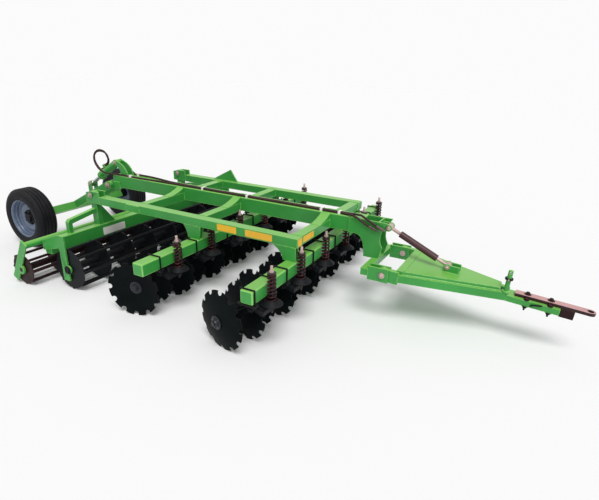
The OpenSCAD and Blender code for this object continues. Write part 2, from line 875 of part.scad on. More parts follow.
// Ribbed tyre with rounded shoulders, seated on the rim between its lips
module tyre() {
    r = wheel_d / 2;
    in_r = rim_d / 2 + seat_gap;
    w = tyre_w / 2;
    seat = w - rim_lip - rim_t - seat_gap;
    wall_in = rim_d / 2 + rim_lip + lug_gap;
    color(black) rotate([90, 0, 0]) difference() {
        rotate_extrude($fn = 96) {
            translate([in_r, -seat]) square([tyre_round * 2, seat * 2]);
            translate([wall_in, -w]) square([r - tyre_round - wall_in, w * 2]);
            translate([wall_in, -w + tyre_round]) square([r - wall_in, (w - tyre_round) * 2]);
            for (z = [-1, 1]) translate([r - tyre_round, z * (w - tyre_round)]) circle(r = tyre_round);
        }
        for (i = [0 : ribs - 1]) {
            y = (w - tyre_round) * (2 * i / (ribs - 1) - 1);
            translate([0, 0, y - rib_w / 2]) rotate_extrude($fn = 96)
                translate([r - rib_depth, 0]) square([rib_depth + over, rib_w]);
        }
    }
}

module wheel_place(side) {
    translate([axle[0], side * wheel_track / 2, axle[1]]) mirror([0, side > 0 ? 1 : 0, 0]) children();
}

module left_rim() { wheel_place(1) rim(); }
module right_rim() { wheel_place(-1) rim(); }
module left_tyre() { wheel_place(1) tyre(); }
module right_tyre() { wheel_place(-1) tyre(); }

// Horn of two curved plates on the centre beam that hold the lift cylinder's base
module lift_horn() {
    horn_in = barrel_eye_w / 2 + link_gap;
    edge = horn_r * horn_edge_share;
    outline = concat(bend([-horn_foot[1], centre_top], [-horn_foot[1] - horn_lean, horn_pin[1]],
        [horn_pin[0], horn_pin[1] + edge]), bend([horn_pin[0], horn_pin[1] - edge],
        [horn_lean - horn_foot[0], (centre_top + horn_pin[1]) / 2], [-horn_foot[0], centre_top]));
    color(green) {
        mirrored_y() {
            plate_xz(outline, [horn_in, horn_in + plate_t]);
            round_y(horn_pin[0], horn_pin[1], [horn_in, horn_in + plate_t], horn_r);
        }
        round_y(horn_pin[0], horn_pin[1], [-horn_in - plate_t, horn_in + plate_t], horn_pin_r);
    }
}

module ram_place() {
    along(horn_pin, lever_pin) children();
}

module cylinder_barrel() {
    back = horn_r + link_gap * 2;
    neck = barrel_eye_r * eye_neck_share;
    color(black) ram_place() difference() {
        union() {
            round_y(0, 0, [-barrel_eye_w / 2, barrel_eye_w / 2], barrel_eye_r);
            block([0, back + over], [weld_step - barrel_eye_w / 2, barrel_eye_w / 2 - weld_step],
                [-neck, neck]);
            round_x([back, barrel_len], barrel_d / 2);
            for (p = ports) block([p[0], p[0] + port_size[0]],
                [p[1] - port_size[1] / 2, p[1] + port_size[1] / 2],
                [-port_up - port_size[2] / 2, -barrel_d / 2 * port_root_share]);
            round_x([barrel_len - gland_len, barrel_len], barrel_d / 2 + gland_side);
        }
        round_y(0, 0, [-barrel_d, barrel_d], horn_pin_r + fit_gap);
        round_x([barrel_len - rod_deep, barrel_len + over], piston_d / 2 + fit_gap);
    }
}

module cylinder_rod() {
    reach = norm(lever_pin - horn_pin);
    eye_w = (lever_in - link_gap) * 2;
    color(steel) ram_place() difference() {
        union() {
            round_x([barrel_len - rod_deep / 2, reach], piston_d / 2);
            round_y(reach, 0, [-eye_w / 2, eye_w / 2], rod_eye_r);
        }
        round_y(reach, 0, [-eye_w, eye_w], lever_pin_r + rod_play);
    }
}

// Rollers and their frame

roller_pin_up = 10;
roller_pin = [-roller_pin_x, side_top + roller_pin_up];
roller_pin_r = 16;
roller_lug_r = 44;
lug_back = 85;
post_w = 90;
post_t = side_beam_w - (plate_t + lug_gap) * 2;
post_y0 = side_in + plate_t + lug_gap;
beam_w = 100;
beam_ahead = 5;
roller_beam_x = -roller_pin_x + beam_ahead;
roller_beam_y = 1300;
roller_beam_top = roller_beam_z + roller_beam_h;
front_axle = [-front_roller_x, front_roller_d / 2];
rear_axle = [-rear_roller_x, rear_roller_d / 2];
roller_shaft_r = 25;
roller_core_r = 38;
bar_r = 14;
ring_t = 10;
side_arm_t = 20;
side_arm_w = 90;
arm_gap = 6;
front_end = front_roller_len / 2 + arm_gap;
rear_end = rear_roller_len / 2 + arm_gap;

// Plates at the rear ends of the side beams that hold the roller frame's pins
module roller_lugs() {
    color(green) mirrored_y() {
        for (y = [side_in, side_y - plate_t]) {
            plate_xz([[-side_rear, side_z], [-side_rear, roller_pin[1] + roller_lug_r],
                [roller_pin[0], roller_pin[1] + roller_lug_r],
                [roller_pin[0] - lug_back, roller_pin[1] + roller_lug_r / 2],
                [roller_pin[0] - lug_back, side_z]], [y, y + plate_t]);
        }
        round_y(roller_pin[0], roller_pin[1], [side_in - pin_head_t, side_y + pin_head_t], roller_pin_r);
    }
}

module roller_beam() {
    color(green) block([roller_beam_x - beam_w / 2, roller_beam_x + beam_w / 2],
        [-roller_beam_y, roller_beam_y], [roller_beam_z, roller_beam_top]);
}

gusset_in = 180;
gusset_up = 240;
// Posts from the roller beam up to the frame's pins, with a gusset inboard of each
module roller_posts() {
    x0 = roller_beam_x;
    color(green) mirrored_y() difference() {
        union() {
            plate_xz([[x0 - post_w / 2, roller_beam_top], [x0 + post_w / 2, roller_beam_top],
                [roller_pin[0] + roller_lug_r, roller_pin[1]], [roller_pin[0] - roller_lug_r, roller_pin[1]]],
                [post_y0, post_y0 + post_t]);
            round_y(roller_pin[0], roller_pin[1], [post_y0, post_y0 + post_t], roller_lug_r);
            plate_yz([[post_y0, roller_beam_top], [post_y0, roller_beam_top + gusset_up],
                [post_y0 - gusset_in, roller_beam_top]],
                [x0 - post_w / 2 + plate_t, x0 + post_w / 2 - plate_t]);
        }
        round_y(roller_pin[0], roller_pin[1], [post_y0 - over, post_y0 + post_t + over],
            roller_pin_r + fit_gap);
    }
}

brace_y = 1115;
brace_w = 50;
brace_z = 650;
// Bent bars from the posts out and down to the roller beam
module roller_braces() {
    x = [roller_beam_x - brace_w / 2, roller_beam_x + brace_w / 2];
    y0 = post_y0 + post_t;
    color(green) mirrored_y()
        plate_yz([[y0, brace_z], [brace_y - brace_w, brace_z - brace_w], [brace_y - brace_w, roller_beam_top],
            [brace_y, roller_beam_top], [brace_y, brace_z - brace_w / 2],
            [brace_y - brace_w / 2, brace_z], [y0, brace_z + brace_w]], x);
}

knee_z = 600;
arm_foot_z = 100;
web_rise = 40;
// Upright side arms ahead of the roller beam's ends, with the front roller's bearings on their front edges
module front_roller_arms() {
    bx = roller_beam_x + beam_w / 2;
    arm_rear = front_axle[0] - side_arm_w;
    color(green) mirrored_y() difference() {
        union() {
            plate_xz([[bx - beam_w, roller_beam_z + web_rise], [bx - beam_w, roller_beam_top],
                [arm_rear, knee_z], [front_axle[0], knee_z], [front_axle[0], arm_foot_z],
                [arm_rear, arm_foot_z], [arm_rear, roller_beam_top - web_rise]],
                [front_end, front_end + side_arm_t]);
            round_y(front_axle[0], front_axle[1], [front_end, front_end + side_arm_t], side_arm_w / 2);
            block([bx - beam_w, bx], [roller_beam_y, front_end], [roller_beam_z, roller_beam_top]);
        }
        round_y(front_axle[0], front_axle[1], [front_end - over, front_end + side_arm_t + over],
            roller_shaft_r + fit_gap);
    }
}

rear_tube = [-2850, 468];
rear_foot = [-3094, 51];
rear_tube_r = 36;
end_boss_r = 52;
link_arm_y = 1200;
link_arm_w = 40;
// Cross tube behind the roller beam with end arms that hold the rear roller's bearings on their front edges
module rear_roller_frame() {
    color(green) difference() {
        union() {
            round_y(rear_tube[0], rear_tube[1], [-rear_end - side_arm_t / 2, rear_end + side_arm_t / 2],
                rear_tube_r);
            mirrored_y() {
                along(rear_tube, rear_foot) block([-side_arm_w / 2, norm(rear_foot - rear_tube)],
                    [rear_end + weld_step, rear_end + side_arm_t - weld_step],
                    [-side_arm_w / 2, side_arm_w / 2]);
                round_y(rear_axle[0], rear_axle[1], [rear_end, rear_end + side_arm_t], end_boss_r);
                block([rear_tube[0], roller_beam_x - beam_w / 2],
                    [link_arm_y - link_arm_w / 2, link_arm_y + link_arm_w / 2],
                    [roller_beam_z + roller_beam_h / 2, roller_beam_top - link_arm_w / 4]);
            }
        }
        round_y(rear_axle[0], rear_axle[1], [-rear_end - side_arm_t * 2, rear_end + side_arm_t * 2],
            roller_shaft_r + fit_gap);
    }
}

// Bar roller: shaft, ring plates and bars round them, running in the side arms
module bar_roller(axle_at, d, len) {
    translate([axle_at[0], 0, axle_at[1]]) rotate([90, 0, 0]) {
        cylinder(h = len + (arm_gap + side_arm_t) * 2, r = roller_shaft_r, center = true);
        cylinder(h = len, r = roller_core_r, center = true);
        for (i = [0 : roller_rings - 1])
            translate([0, 0, -len / 2 + i * (len - ring_t) / (roller_rings - 1)])
                cylinder(h = ring_t, r = d / 2 - bar_r);
        for (i = [0 : roller_bars - 1]) rotate([0, 0, i * 360 / roller_bars])
            translate([0, -d / 2 + bar_r, 0]) cylinder(h = len, r = bar_r, center = true);
    }
}

module front_roller() {
    color(black) bar_roller(front_axle, front_roller_d, front_roller_len);
}

module rear_roller() {
    color(brown) bar_roller(rear_axle, rear_roller_d, rear_roller_len);
}

// Hydraulic hoses, held along the centre beam

hose_r = 11;
hose_sides = 8;
hose_steps = 3;
// Runs along the centre beam to the couplers beside the mast
near_run = [[-2840, -65, 924], [-2760, -65, 924], [-2660, -65, 924], [-2480, -60, 924], [-2200, -50, 924],
    [-1800, -46, 924], [-1300, -46, 924], [-800, -46, 924], [-400, -46, 924], [-120, -46, 924],
    [60, -46, 924], [130, -60, 927], [190, -92, 935], [245, -112, 926], [300, -116, 900], [355, -116, 872],
    [410, -116, 852]];
far_run = [[-2840, 65, 924], [-2760, 65, 924], [-2660, 65, 924], [-2480, 42, 924], [-2200, -5, 924],
    [-1800, -21, 924], [-1300, -21, 924], [-800, -21, 924], [-400, -21, 924], [-120, -21, 924],
    [60, -21, 924], [150, -26, 927], [225, -50, 936], [290, -90, 946], [340, -116, 934], [390, -120, 910],
    [440, -120, 886], [485, -120, 866]];
// Loops from the end blocks to the lift cylinder's two ports
near_loop = [[-2880.3, -65, 924], [-2930, -65, 924], [-3010, -68, 925], [-3110, -80, 930], [-3200, -88, 925],
    [-3290, -92, 926], [-3390, -92, 952], [-3460, -90, 1012], [-3490, -86, 1085], [-3475, -78, 1155],
    [-3430, -68, 1198], [-3376, -58, 1208], [-3315, -48, 1186], [-3281, -38, 1115], [-3293, -30, 1068],
    [-3325, -22, 1034.6], [-3365.5, -20, 1009]];
far_loop = [[-2880.3, 65, 924], [-2930, 65, 924], [-3010, 68, 925], [-3110, 80, 930], [-3200, 88, 918],
    [-3300, 93, 892], [-3400, 94, 870], [-3520, 92, 868], [-3630, 88, 918], [-3690, 82, 1000],
    [-3690, 76, 1080], [-3630, 68, 1140], [-3540, 60, 1163], [-3455, 50, 1160], [-3388, 40, 1132],
    [-3360, 35, 1065], [-3374, 30, 1015], [-3404, 26, 985], [-3446, 22, 958], [-3488.5, 20, 931.4]];
clip_x = [-1700, -1075, -160, 40];
clip_w = 28;
clip_wall = 8;
end_block = [-2880, -2840];
coupler_len = 62;
coupler_r = 14;

function unit(v) = v / norm(v);
// Point on the smooth curve through a, b, c and d, a share t of the way from b to c
function curve(a, b, c, d, t) = (2 * b + (c - a) * t + (2 * a - 5 * b + 4 * c - d) * pow(t, 2)
    + (3 * b - a - 3 * c + d) * pow(t, 3)) / 2;
function smooth(p) = let (last = len(p) - 1) concat([for (i = [0 : last - 1]) for (k = [0 : hose_steps - 1])
    curve(p[max(i - 1, 0)], p[i], p[i + 1], p[min(i + 2, last)], k / hose_steps)], [p[last]]);
function heading(p, i) = unit(p[min(i + 1, len(p) - 1)] - p[max(i - 1, 0)]);
function ring(p, i, r, n, up) = let (t = heading(p, i), u = unit(cross(t, up)), v = cross(t, u))
    [for (k = [0 : n - 1]) let (a = k * 360 / n) p[i] + (u * cos(a) + v * sin(a)) * r];

// Tube of radius r and n sides along the points p
module sweep(p, r, n, up) {
    rings = len(p);
    sides = [for (i = [0 : rings - 2]) for (k = [0 : n - 1]) let (m = (k + 1) % n)
        for (f = [[i * n + k, i * n + m, (i + 1) * n + m], [i * n + k, (i + 1) * n + m, (i + 1) * n + k]]) f];
    ends = [[for (k = [n - 1 : -1 : 0]) k], [for (k = [0 : n - 1]) (rings - 1) * n + k]];
    polyhedron([for (i = [0 : rings - 1]) each ring(p, i, r, n, up)], concat(sides, ends));
}

module hose(route) {
    sweep(smooth(route), hose_r, hose_sides, [0, 1, 0]);
}

module hoses() {
    color(black) {
        hose(near_run);
        hose(far_run);
    }
}

module hose_loops() {
    color(black) {
        hose(near_loop);
        hose(far_loop);
    }
}

// Clip blocks on the centre beam, and the end block where runs and loops are joined
module hose_clips() {
    low_y = near_run[6][1] - hose_r;
    high_y = far_run[6][1] + hose_r;
    color("white") {
        for (x = clip_x) difference() {
            block([x - clip_w / 2, x + clip_w / 2], [low_y - clip_wall, high_y + clip_wall],
                [centre_top, near_run[6][2] + hose_r + clip_wall]);
            block([x - clip_w, x + clip_w], [low_y - clip_wall / 2, high_y + clip_wall / 2],
                [centre_top - over, near_run[6][2] + hose_r + clip_wall / 2]);
        }
        for (y = [near_run[0][1], far_run[0][1]])
            block(end_block, [y - hose_r - clip_wall / 2, y + hose_r + clip_wall / 2],
                [centre_top, near_run[0][2] + hose_r + clip_wall]);
    }
}

module hose_couplers() {
    color(steel) for (route = [near_run, far_run]) {
        p = smooth(route);
        last = len(p) - 1;
        t = heading(p, last);
        translate(p[last]) rotate([0, acos(t[2]), atan2(t[1], t[0])])
            cylinder(h = coupler_len, r = coupler_r);
    }
}

// Everything is shifted so that the origin lies under the middle of the part's length
tip_x = pin_x + (eye_reach + tongue_w / 2) * cos(drawbar_tilt)
    + (tongue_n + tongue_t / 2) * sin(drawbar_tilt);
tail_x = -wheel_x - wheel_d / 2;
shift_x = -(tip_x + tail_x) / 2;

// Every node in the part's own frame

placed() side_beams();
placed() centre_beam();
placed() cross_tubes();
placed() cross_gussets();
placed() gang_hangers();
placed() front_gang_beam();
placed() rear_gang_beam();
placed() unit_brackets();
placed() unit_clamps();
placed() unit_arms();
placed() unit_springs();
placed() unit_rods();
placed() mast();
placed() headstock();
placed() headstock_pins();
placed() lift_horn();
placed() roller_lugs();
placed() carriage_lugs();
placed() hoses();
placed() hose_loops();
placed() hose_clips();
placed() hose_couplers();
placed() drawbar_frame();
placed() tongue();
placed() tongue_channel();
placed() drawbar_post();
placed() turnbuckle_tube();
placed() turnbuckle_rod();
placed() carriage_arms();
placed() axle_beam();
placed() left_rim();
placed() left_tyre();
placed() right_rim();
placed() right_tyre();
placed() cylinder_barrel();
placed() cylinder_rod();
placed() roller_beam();
placed() roller_posts();
placed() roller_braces();
placed() front_roller_arms();
placed() rear_roller_frame();
placed() front_roller();
placed() rear_roller();
placed() unit_discs(front_row, 0);  // front_discs_1
placed() unit_discs(front_row, 1);  // front_discs_2
placed() unit_discs(front_row, 2);  // front_discs_3
placed() unit_discs(front_row, 3);  // front_discs_4
placed() unit_discs(front_row, 4);  // front_discs_5
placed() unit_discs(front_row, 5);  // front_discs_6
placed() unit_discs(rear_row, 0);  // rear_discs_1
placed() unit_discs(rear_row, 1);  // rear_discs_2
placed() unit_discs(rear_row, 2);  // rear_discs_3
placed() unit_discs(rear_row, 3);  // rear_discs_4
placed() unit_discs(rear_row, 4);  // rear_discs_5
placed() unit_discs(rear_row, 5);  // rear_discs_6
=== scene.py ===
import math

import bmesh
import bpy
from mathutils import Matrix, Vector


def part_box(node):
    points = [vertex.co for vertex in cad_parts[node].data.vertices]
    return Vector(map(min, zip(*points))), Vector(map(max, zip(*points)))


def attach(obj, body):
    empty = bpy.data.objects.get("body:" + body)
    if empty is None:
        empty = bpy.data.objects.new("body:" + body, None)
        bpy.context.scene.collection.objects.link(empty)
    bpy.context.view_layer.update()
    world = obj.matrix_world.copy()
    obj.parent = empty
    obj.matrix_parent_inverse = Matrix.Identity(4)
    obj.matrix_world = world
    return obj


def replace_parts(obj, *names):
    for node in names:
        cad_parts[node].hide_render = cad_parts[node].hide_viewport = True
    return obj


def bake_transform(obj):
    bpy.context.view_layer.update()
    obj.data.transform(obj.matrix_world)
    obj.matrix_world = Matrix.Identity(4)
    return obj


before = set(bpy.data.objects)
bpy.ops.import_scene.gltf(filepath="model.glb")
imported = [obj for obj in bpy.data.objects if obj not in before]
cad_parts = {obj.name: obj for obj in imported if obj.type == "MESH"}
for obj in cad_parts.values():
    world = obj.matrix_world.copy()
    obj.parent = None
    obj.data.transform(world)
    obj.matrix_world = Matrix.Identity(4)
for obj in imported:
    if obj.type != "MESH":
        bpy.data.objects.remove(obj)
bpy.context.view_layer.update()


# Main frame: square side beams, a taller centre beam and cross tubes under sloping gussets.
# Steel tube and plate, cut square, welded all round and sprayed with one coat of green enamel.
GREEN = (0.044, 0.335, 0.056, 1)
GREEN_DEEP = (0.034, 0.272, 0.045, 1)
# Light green for the edges: a painted highlight along them.
GREEN_EDGE_HIGHLIGHT = (0.290, 0.640, 0.150, 1)
# Lighter green on faces that look up: painted top light.
GREEN_PAINTED_TOP_LIGHT = (0.170, 0.495, 0.076, 1)
FIELD_DUST = (0.360, 0.310, 0.230, 1)
TUBE_EDGE = 0.007
PLATE_EDGE = 0.003
PAD_EDGE = 0.0025  # less than the step of the pads welded on the side beams
SHARP = math.radians(40)
SAME_POINT = 1e-5


def put(tree, kind, inputs=None, **settings):
    """Adds a shader node, with its sockets set to values or linked to other nodes' outputs."""
    node = tree.nodes.new(kind)
    for name, value in settings.items():
        setattr(node, name, value)
    for socket, value in (inputs or {}).items():
        if isinstance(value, bpy.types.NodeSocket):
            tree.links.new(value, node.inputs[socket])
        else:
            node.inputs[socket].default_value = value
    return node


def effect(name, inputs, outputs):
    """Starts a node group with number sockets; returns its tree, its input node and its output node."""
    tree = bpy.data.node_groups.new(name, "ShaderNodeTree")
    for socket, value in inputs.items():
        made = tree.interface.new_socket(socket, in_out="INPUT", socket_type="NodeSocketFloat")
        made.default_value = value
    for socket in outputs:
        tree.interface.new_socket(socket, in_out="OUTPUT", socket_type="NodeSocketFloat")
    return tree, tree.nodes.new("NodeGroupInput"), tree.nodes.new("NodeGroupOutput")


def ranged(tree, value, low, high, first=0.0, last=1.0):
    """Number from first to last, by where a value lies between two limits."""
    return put(tree, "ShaderNodeMapRange", {"Value": value, 1: low, 2: high, 3: first, 4: last}).outputs[0]


def joined(tree, operation, first, second):
    """Two numbers joined by one operation."""
    return put(tree, "ShaderNodeMath", {0: first, 1: second}, operation=operation).outputs[0]


def clouds(tree, scale, detail, rough=0.5):
    """Noise that stays with the piece it lies on."""
    place = put(tree, "ShaderNodeTexCoord")
    return put(tree, "ShaderNodeTexNoise", {"Vector": place.outputs["Object"], "Scale": scale,
               "Detail": detail, "Roughness": rough}).outputs[0]


def facing_up(tree):
    """How far a face looks up, from -1 to 1."""
    face = put(tree, "ShaderNodeNewGeometry")
    return put(tree, "ShaderNodeSeparateXYZ", {0: face.outputs["Normal"]}).outputs["Z"]


def worn_and_highlit_edges():
    """Mask of the outer edges, broken up by noise, where a coat is worn down or rubbed through, and where the
    green enamel gets a painted highlight along its edges.
    """
    tree, given, out = effect("worn_and_highlit_edges", {"Radius": 0.008, "Break-up": 40.0, "Amount": 1.0}, ["Mask"])
    rounded = put(tree, "ShaderNodeBevel", {"Radius": given.outputs["Radius"]}, samples=6)
    true = put(tree, "ShaderNodeNewGeometry")
    turn = put(tree, "ShaderNodeVectorMath", {0: rounded.outputs[0], 1: true.outputs["Normal"]},
               operation="DOT_PRODUCT")
    edge = ranged(tree, turn.outputs["Value"], 0.996, 0.93)
    broken = ranged(tree, clouds(tree, given.outputs["Break-up"], 4.0), 0.38, 0.62, 0.15)
    mask = joined(tree, "MULTIPLY", joined(tree, "MULTIPLY", edge, broken), given.outputs["Amount"])
    tree.links.new(mask, out.inputs["Mask"])
    return tree


def sprayed_skin():
    """Slow changes of tone over a sprayed or rolled surface, and the height of its fine texture."""
    tree, given, out = effect("sprayed_skin", {"Cloud": 2.5, "Texture": 260.0}, ["Tone", "Height"])
    tone = ranged(tree, clouds(tree, given.outputs["Cloud"], 5.0, 0.6), 0.32, 0.68)
    tree.links.new(tone, out.inputs["Tone"])
    tree.links.new(clouds(tree, given.outputs["Texture"], 2.0), out.inputs["Height"])
    return tree


def settled_dust():
    """Mask of dust that has settled in patches on whatever faces up, and the mask of what faces up."""
    tree, given, out = effect("settled_dust", {"Patches": 9.0, "Amount": 0.2}, ["Mask", "Facing up"])
    lying = ranged(tree, facing_up(tree), 0.2, 0.95)
    patch = ranged(tree, clouds(tree, given.outputs["Patches"], 6.0, 0.65), 0.40, 0.72)
    mask = joined(tree, "MULTIPLY", joined(tree, "MULTIPLY", lying, patch), given.outputs["Amount"])
    tree.links.new(mask, out.inputs["Mask"])
    tree.links.new(lying, out.inputs["Facing up"])
    return tree


EDGE_EFFECT = worn_and_highlit_edges()
SKIN_EFFECT = sprayed_skin()
DUST_EFFECT = settled_dust()


def mixed(tree, share, first, second):
    """Colour between two others, by a mask."""
    return put(tree, "ShaderNodeMix", {0: share, 6: first, 7: second}, data_type="RGBA").outputs[2]


def coated(name, colour, deep, edge_wear_and_highlight, rough, edge=1.0, edge_r=0.008, dust=0.1, cloud=2.5, texture=260.0,
           bump=0.04, metal=0.0, coat=0.0, shine=0.5, painted_top_light=None, other=None, where=None):
    """A painted, rubber or metal finish: two tones, edges in a second colour (rubbed through on most finishes,
    a painted highlight on the green enamel), settled dust and a fine bump.
    Faces that look up can have a lighter tone, which is painted top light, and where() can give the mask of a
    second colour."""
    material = bpy.data.materials.new(name)
    material.use_nodes = True
    tree = material.node_tree
    shader = tree.nodes["Principled BSDF"]
    skin = put(tree, "ShaderNodeGroup", {"Cloud": cloud, "Texture": texture}, node_tree=SKIN_EFFECT)
    wear_and_highlight_mask = put(tree, "ShaderNodeGroup", {"Radius": edge_r, "Amount": edge}, node_tree=EDGE_EFFECT)
    dirt = put(tree, "ShaderNodeGroup", {"Amount": dust}, node_tree=DUST_EFFECT)
    body = mixed(tree, skin.outputs["Tone"], colour, deep)
    # Faces that look up take a lighter tone: painted top light.
    if painted_top_light:
        body = mixed(tree, dirt.outputs["Facing up"], body, painted_top_light)
    if other:
        body = mixed(tree, where(tree), body, other)
    # Edges take the second colour: rubbed-through metal and primer on most finishes, a painted highlight on the
    # green enamel.
    edged = mixed(tree, wear_and_highlight_mask.outputs["Mask"], body, edge_wear_and_highlight)
    dusty = mixed(tree, dirt.outputs["Mask"], edged, FIELD_DUST)
    tree.links.new(dusty, shader.inputs["Base Color"])
    gloss = ranged(tree, skin.outputs["Tone"], 0.0, 1.0, rough - 0.05, rough + 0.07)
    dull = put(tree, "ShaderNodeMath", {0: dirt.outputs["Mask"], 1: 0.5, 2: gloss},
               operation="MULTIPLY_ADD")
    tree.links.new(dull.outputs[0], shader.inputs["Roughness"])
    relief = put(tree, "ShaderNodeBump",
                 {"Strength": bump, "Distance": 0.002, "Height": skin.outputs["Height"]})
    tree.links.new(relief.outputs[0], shader.inputs["Normal"])
    shader.inputs["Metallic"].default_value = metal
    shader.inputs["Coat Weight"].default_value = coat
    shader.inputs["Specular IOR Level"].default_value = shine
    return material


def dress(material, names, edge=0.0):
    """Gives CAD nodes a finish and, where they are tube or plate, the small radius of a real edge."""
    for name in names:
        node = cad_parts[name]
        node.data.materials.clear()
        node.data.materials.append(material)
        if edge:
            join = node.modifiers.new("joined_faces", "WELD")
            join.merge_threshold = SAME_POINT
            rolled = node.modifiers.new("rolled_edge", "BEVEL")
            rolled.width = edge
            rolled.segments = 3
            rolled.limit_method = "ANGLE"
            rolled.angle_limit = SHARP
            rolled.use_clamp_overlap = False
            flat = node.modifiers.new("flat_faces", "WEIGHTED_NORMAL")
            flat.keep_sharp = True


def full_turn(count, start=0.0):
    """Equally spaced angles round one turn."""
    return [2 * math.pi * (k + start) / count for k in range(count)]


def turned(across, square, angle):
    """Direction at an angle from one direction towards another, square to it."""
    return across * math.cos(angle) + square * math.sin(angle)


def sweep(mesh, path, radius, sides=8, closed=False):
    """Round bar along a path, of one radius or of one for each point."""
    count = len(path)
    radii = radius if isinstance(radius, list) else [radius] * count
    rings, across = [], None
    for i, point in enumerate(path):
        before = path[i - 1] if i or closed else point
        after = path[(i + 1) % count] if i < count - 1 or closed else point
        heading = (after - before).normalized()
        across = heading.orthogonal() if across is None else across - heading * across.dot(heading)
        across.normalize()
        square = heading.cross(across)
        rings.append([mesh.verts.new(point + turned(across, square, a) * radii[i])
                      for a in full_turn(sides)])
    for i in range(count if closed else count - 1):
        low, high = rings[i], rings[(i + 1) % count]
        for k in range(sides):
            m = (k + 1) % sides
            mesh.faces.new((low[k], low[m], high[m], high[k]))
    if not closed:
        mesh.faces.new(rings[0][::-1])
        mesh.faces.new(rings[-1])


def piece(name, mesh, material, body, sharp=SHARP):
    """Turns a finished mesh into a named piece that rides on a CAD body, or on none when no body is given."""
    bmesh.ops.recalc_face_normals(mesh, faces=mesh.faces)
    for face in mesh.faces:
        face.smooth = True
    data = bpy.data.meshes.new(name)
    mesh.to_mesh(data)
    mesh.free()
    data.set_sharp_from_angle(angle=sharp)
    data.materials.append(material)
    made = bpy.data.objects.new(name, data)
    bpy.context.scene.collection.objects.link(made)
    if body:
        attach(made, body)
    return made


SPRINGS_AHEAD = 0.045
FRONT_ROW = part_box("front_gang_beam")[1].x + SPRINGS_AHEAD


def spot(x, y, z):
    """Point from millimetres ahead of the front springs' axis, left of the middle and above the ground."""
    return Vector((x / 1000 + FRONT_ROW, y / 1000, z / 1000))


WELD_STEP = 0.0045
WELD_R = 0.0055
WELD_INSET, WELD_LIFT = 4, 1


def weld(mesh, corners, closed=False):
    """Rippled weld bead along a run of corners."""
    legs = list(zip(corners, corners[1:] + corners[:1] if closed else corners[1:]))
    path = []
    for start, end in legs:
        steps = max(2, round((end - start).length / WELD_STEP))
        path += [start.lerp(end, i / steps) for i in range(steps)]
    if not closed:
        path.append(corners[-1])
    ripple = [WELD_R * (0.86 + 0.22 * abs(math.sin(1.3 * i)) + 0.05 * math.sin(0.37 * i))
              for i in range(len(path))]
    sweep(mesh, path, ripple, 6, closed)


def rolled_edge(tree):
    """Mask of a square tube's rounded edges, where a highlight is painted: faces that look along none of the
    frame's directions.
    """
    face = put(tree, "ShaderNodeNewGeometry")
    flat = put(tree, "ShaderNodeVectorMath", {0: face.outputs["True Normal"]}, operation="ABSOLUTE")
    share = put(tree, "ShaderNodeSeparateXYZ", {0: flat.outputs[0]}).outputs
    most = joined(tree, "MAXIMUM", joined(tree, "MAXIMUM", share["X"], share["Y"]), share["Z"])
    return ranged(tree, most, 0.99, 0.95, 0.0, 0.75)


# On the green enamel the light edge colour is a painted highlight along the edges.
ENAMEL = {"rough": 0.36, "edge": 1.0, "edge_r": 0.010, "dust": 0.10, "coat": 0.10, "shine": 0.4,
          "painted_top_light": GREEN_PAINTED_TOP_LIGHT}
# Both green finishes take a lighter tone on faces that look up: painted top light.
green = coated("green_enamel", GREEN, GREEN_DEEP, GREEN_EDGE_HIGHLIGHT, **ENAMEL)
# The tubes' rounded edges also take the light green as a painted highlight.
tube_green = coated("tube_enamel", GREEN, GREEN_DEEP, GREEN_EDGE_HIGHLIGHT, **ENAMEL,
                    other=GREEN_EDGE_HIGHLIGHT, where=rolled_edge)
dress(tube_green, ["centre_beam", "cross_tubes"], TUBE_EDGE)
dress(tube_green, ["side_beams"], PAD_EDGE)
dress(green, ["cross_gussets", "gang_hangers"], PLATE_EDGE)

CROSS_X = (-100, -1200, -2020)
CROSS_HALF = 50
BEAM_LOW, BEAM_TOP, CENTRE_TOP = 757, 845, 912
CENTRE_Y, SIDE_IN, SIDE_Y = 75, 662, 762
GUSSET_Y = 305
HANGERS = ((-304, -58, -191, -58), (-1374, -1152, -1320, -1170))
HANGER_FACES = (SIDE_Y - 14, SIDE_Y - 62)
GANG_TOP = 620
STAY_FOOT, STAY_SIDES = (-2150, -1766), (703, 721)

beads = bmesh.new()
for side in (-1, 1):
    for x in CROSS_X:
        back, front = x - CROSS_HALF, x + CROSS_HALF
        for y in (side * CENTRE_Y, side * SIDE_IN):
            weld(beads, [spot(back, y, BEAM_LOW), spot(front, y, BEAM_LOW),
                         spot(front, y, BEAM_TOP), spot(back, y, BEAM_TOP)], True)
        weld(beads, [spot(end, side * CENTRE_Y, CENTRE_TOP - WELD_INSET) for end in (back, front)])
        weld(beads, [spot(end, side * GUSSET_Y, BEAM_TOP) for end in (back + WELD_INSET, front - WELD_INSET)])
    for back, front, low_back, low_front in HANGERS:
        for face in HANGER_FACES:
            for start, end, z in ((low_back, low_front, GANG_TOP), (back, front, BEAM_LOW)):
                weld(beads, [spot(start + WELD_INSET, side * face, z), spot(end - WELD_INSET, side * face, z)])
for y in STAY_SIDES:
    weld(beads, [spot(x, y, BEAM_TOP + WELD_LIFT) for x in STAY_FOOT])
piece("frame_welds", beads, green, "frame")


# Stickers: blank yellow vinyl labels on the near side beam and its first cross tube.
# Plain film with rounded corners, stuck on flat after spraying.
LABEL_YELLOW = (0.880, 0.520, 0.030, 1)
LABEL_DEEP = (0.800, 0.420, 0.020, 1)
LABEL_GAP, LABEL_T = 0.0002, 0.0008
LABEL_CORNER, CORNER_STEPS = 0.010, 4
LABEL_Z = 801
BEAM_LABELS, BEAM_LABEL_HEIGHT = ((-936, -706), (-604, -304)), 0.066
FRONT_LABELS = ((-40, -712, 0.076, 0.070), (-50, -530, 0.21, 0.060))


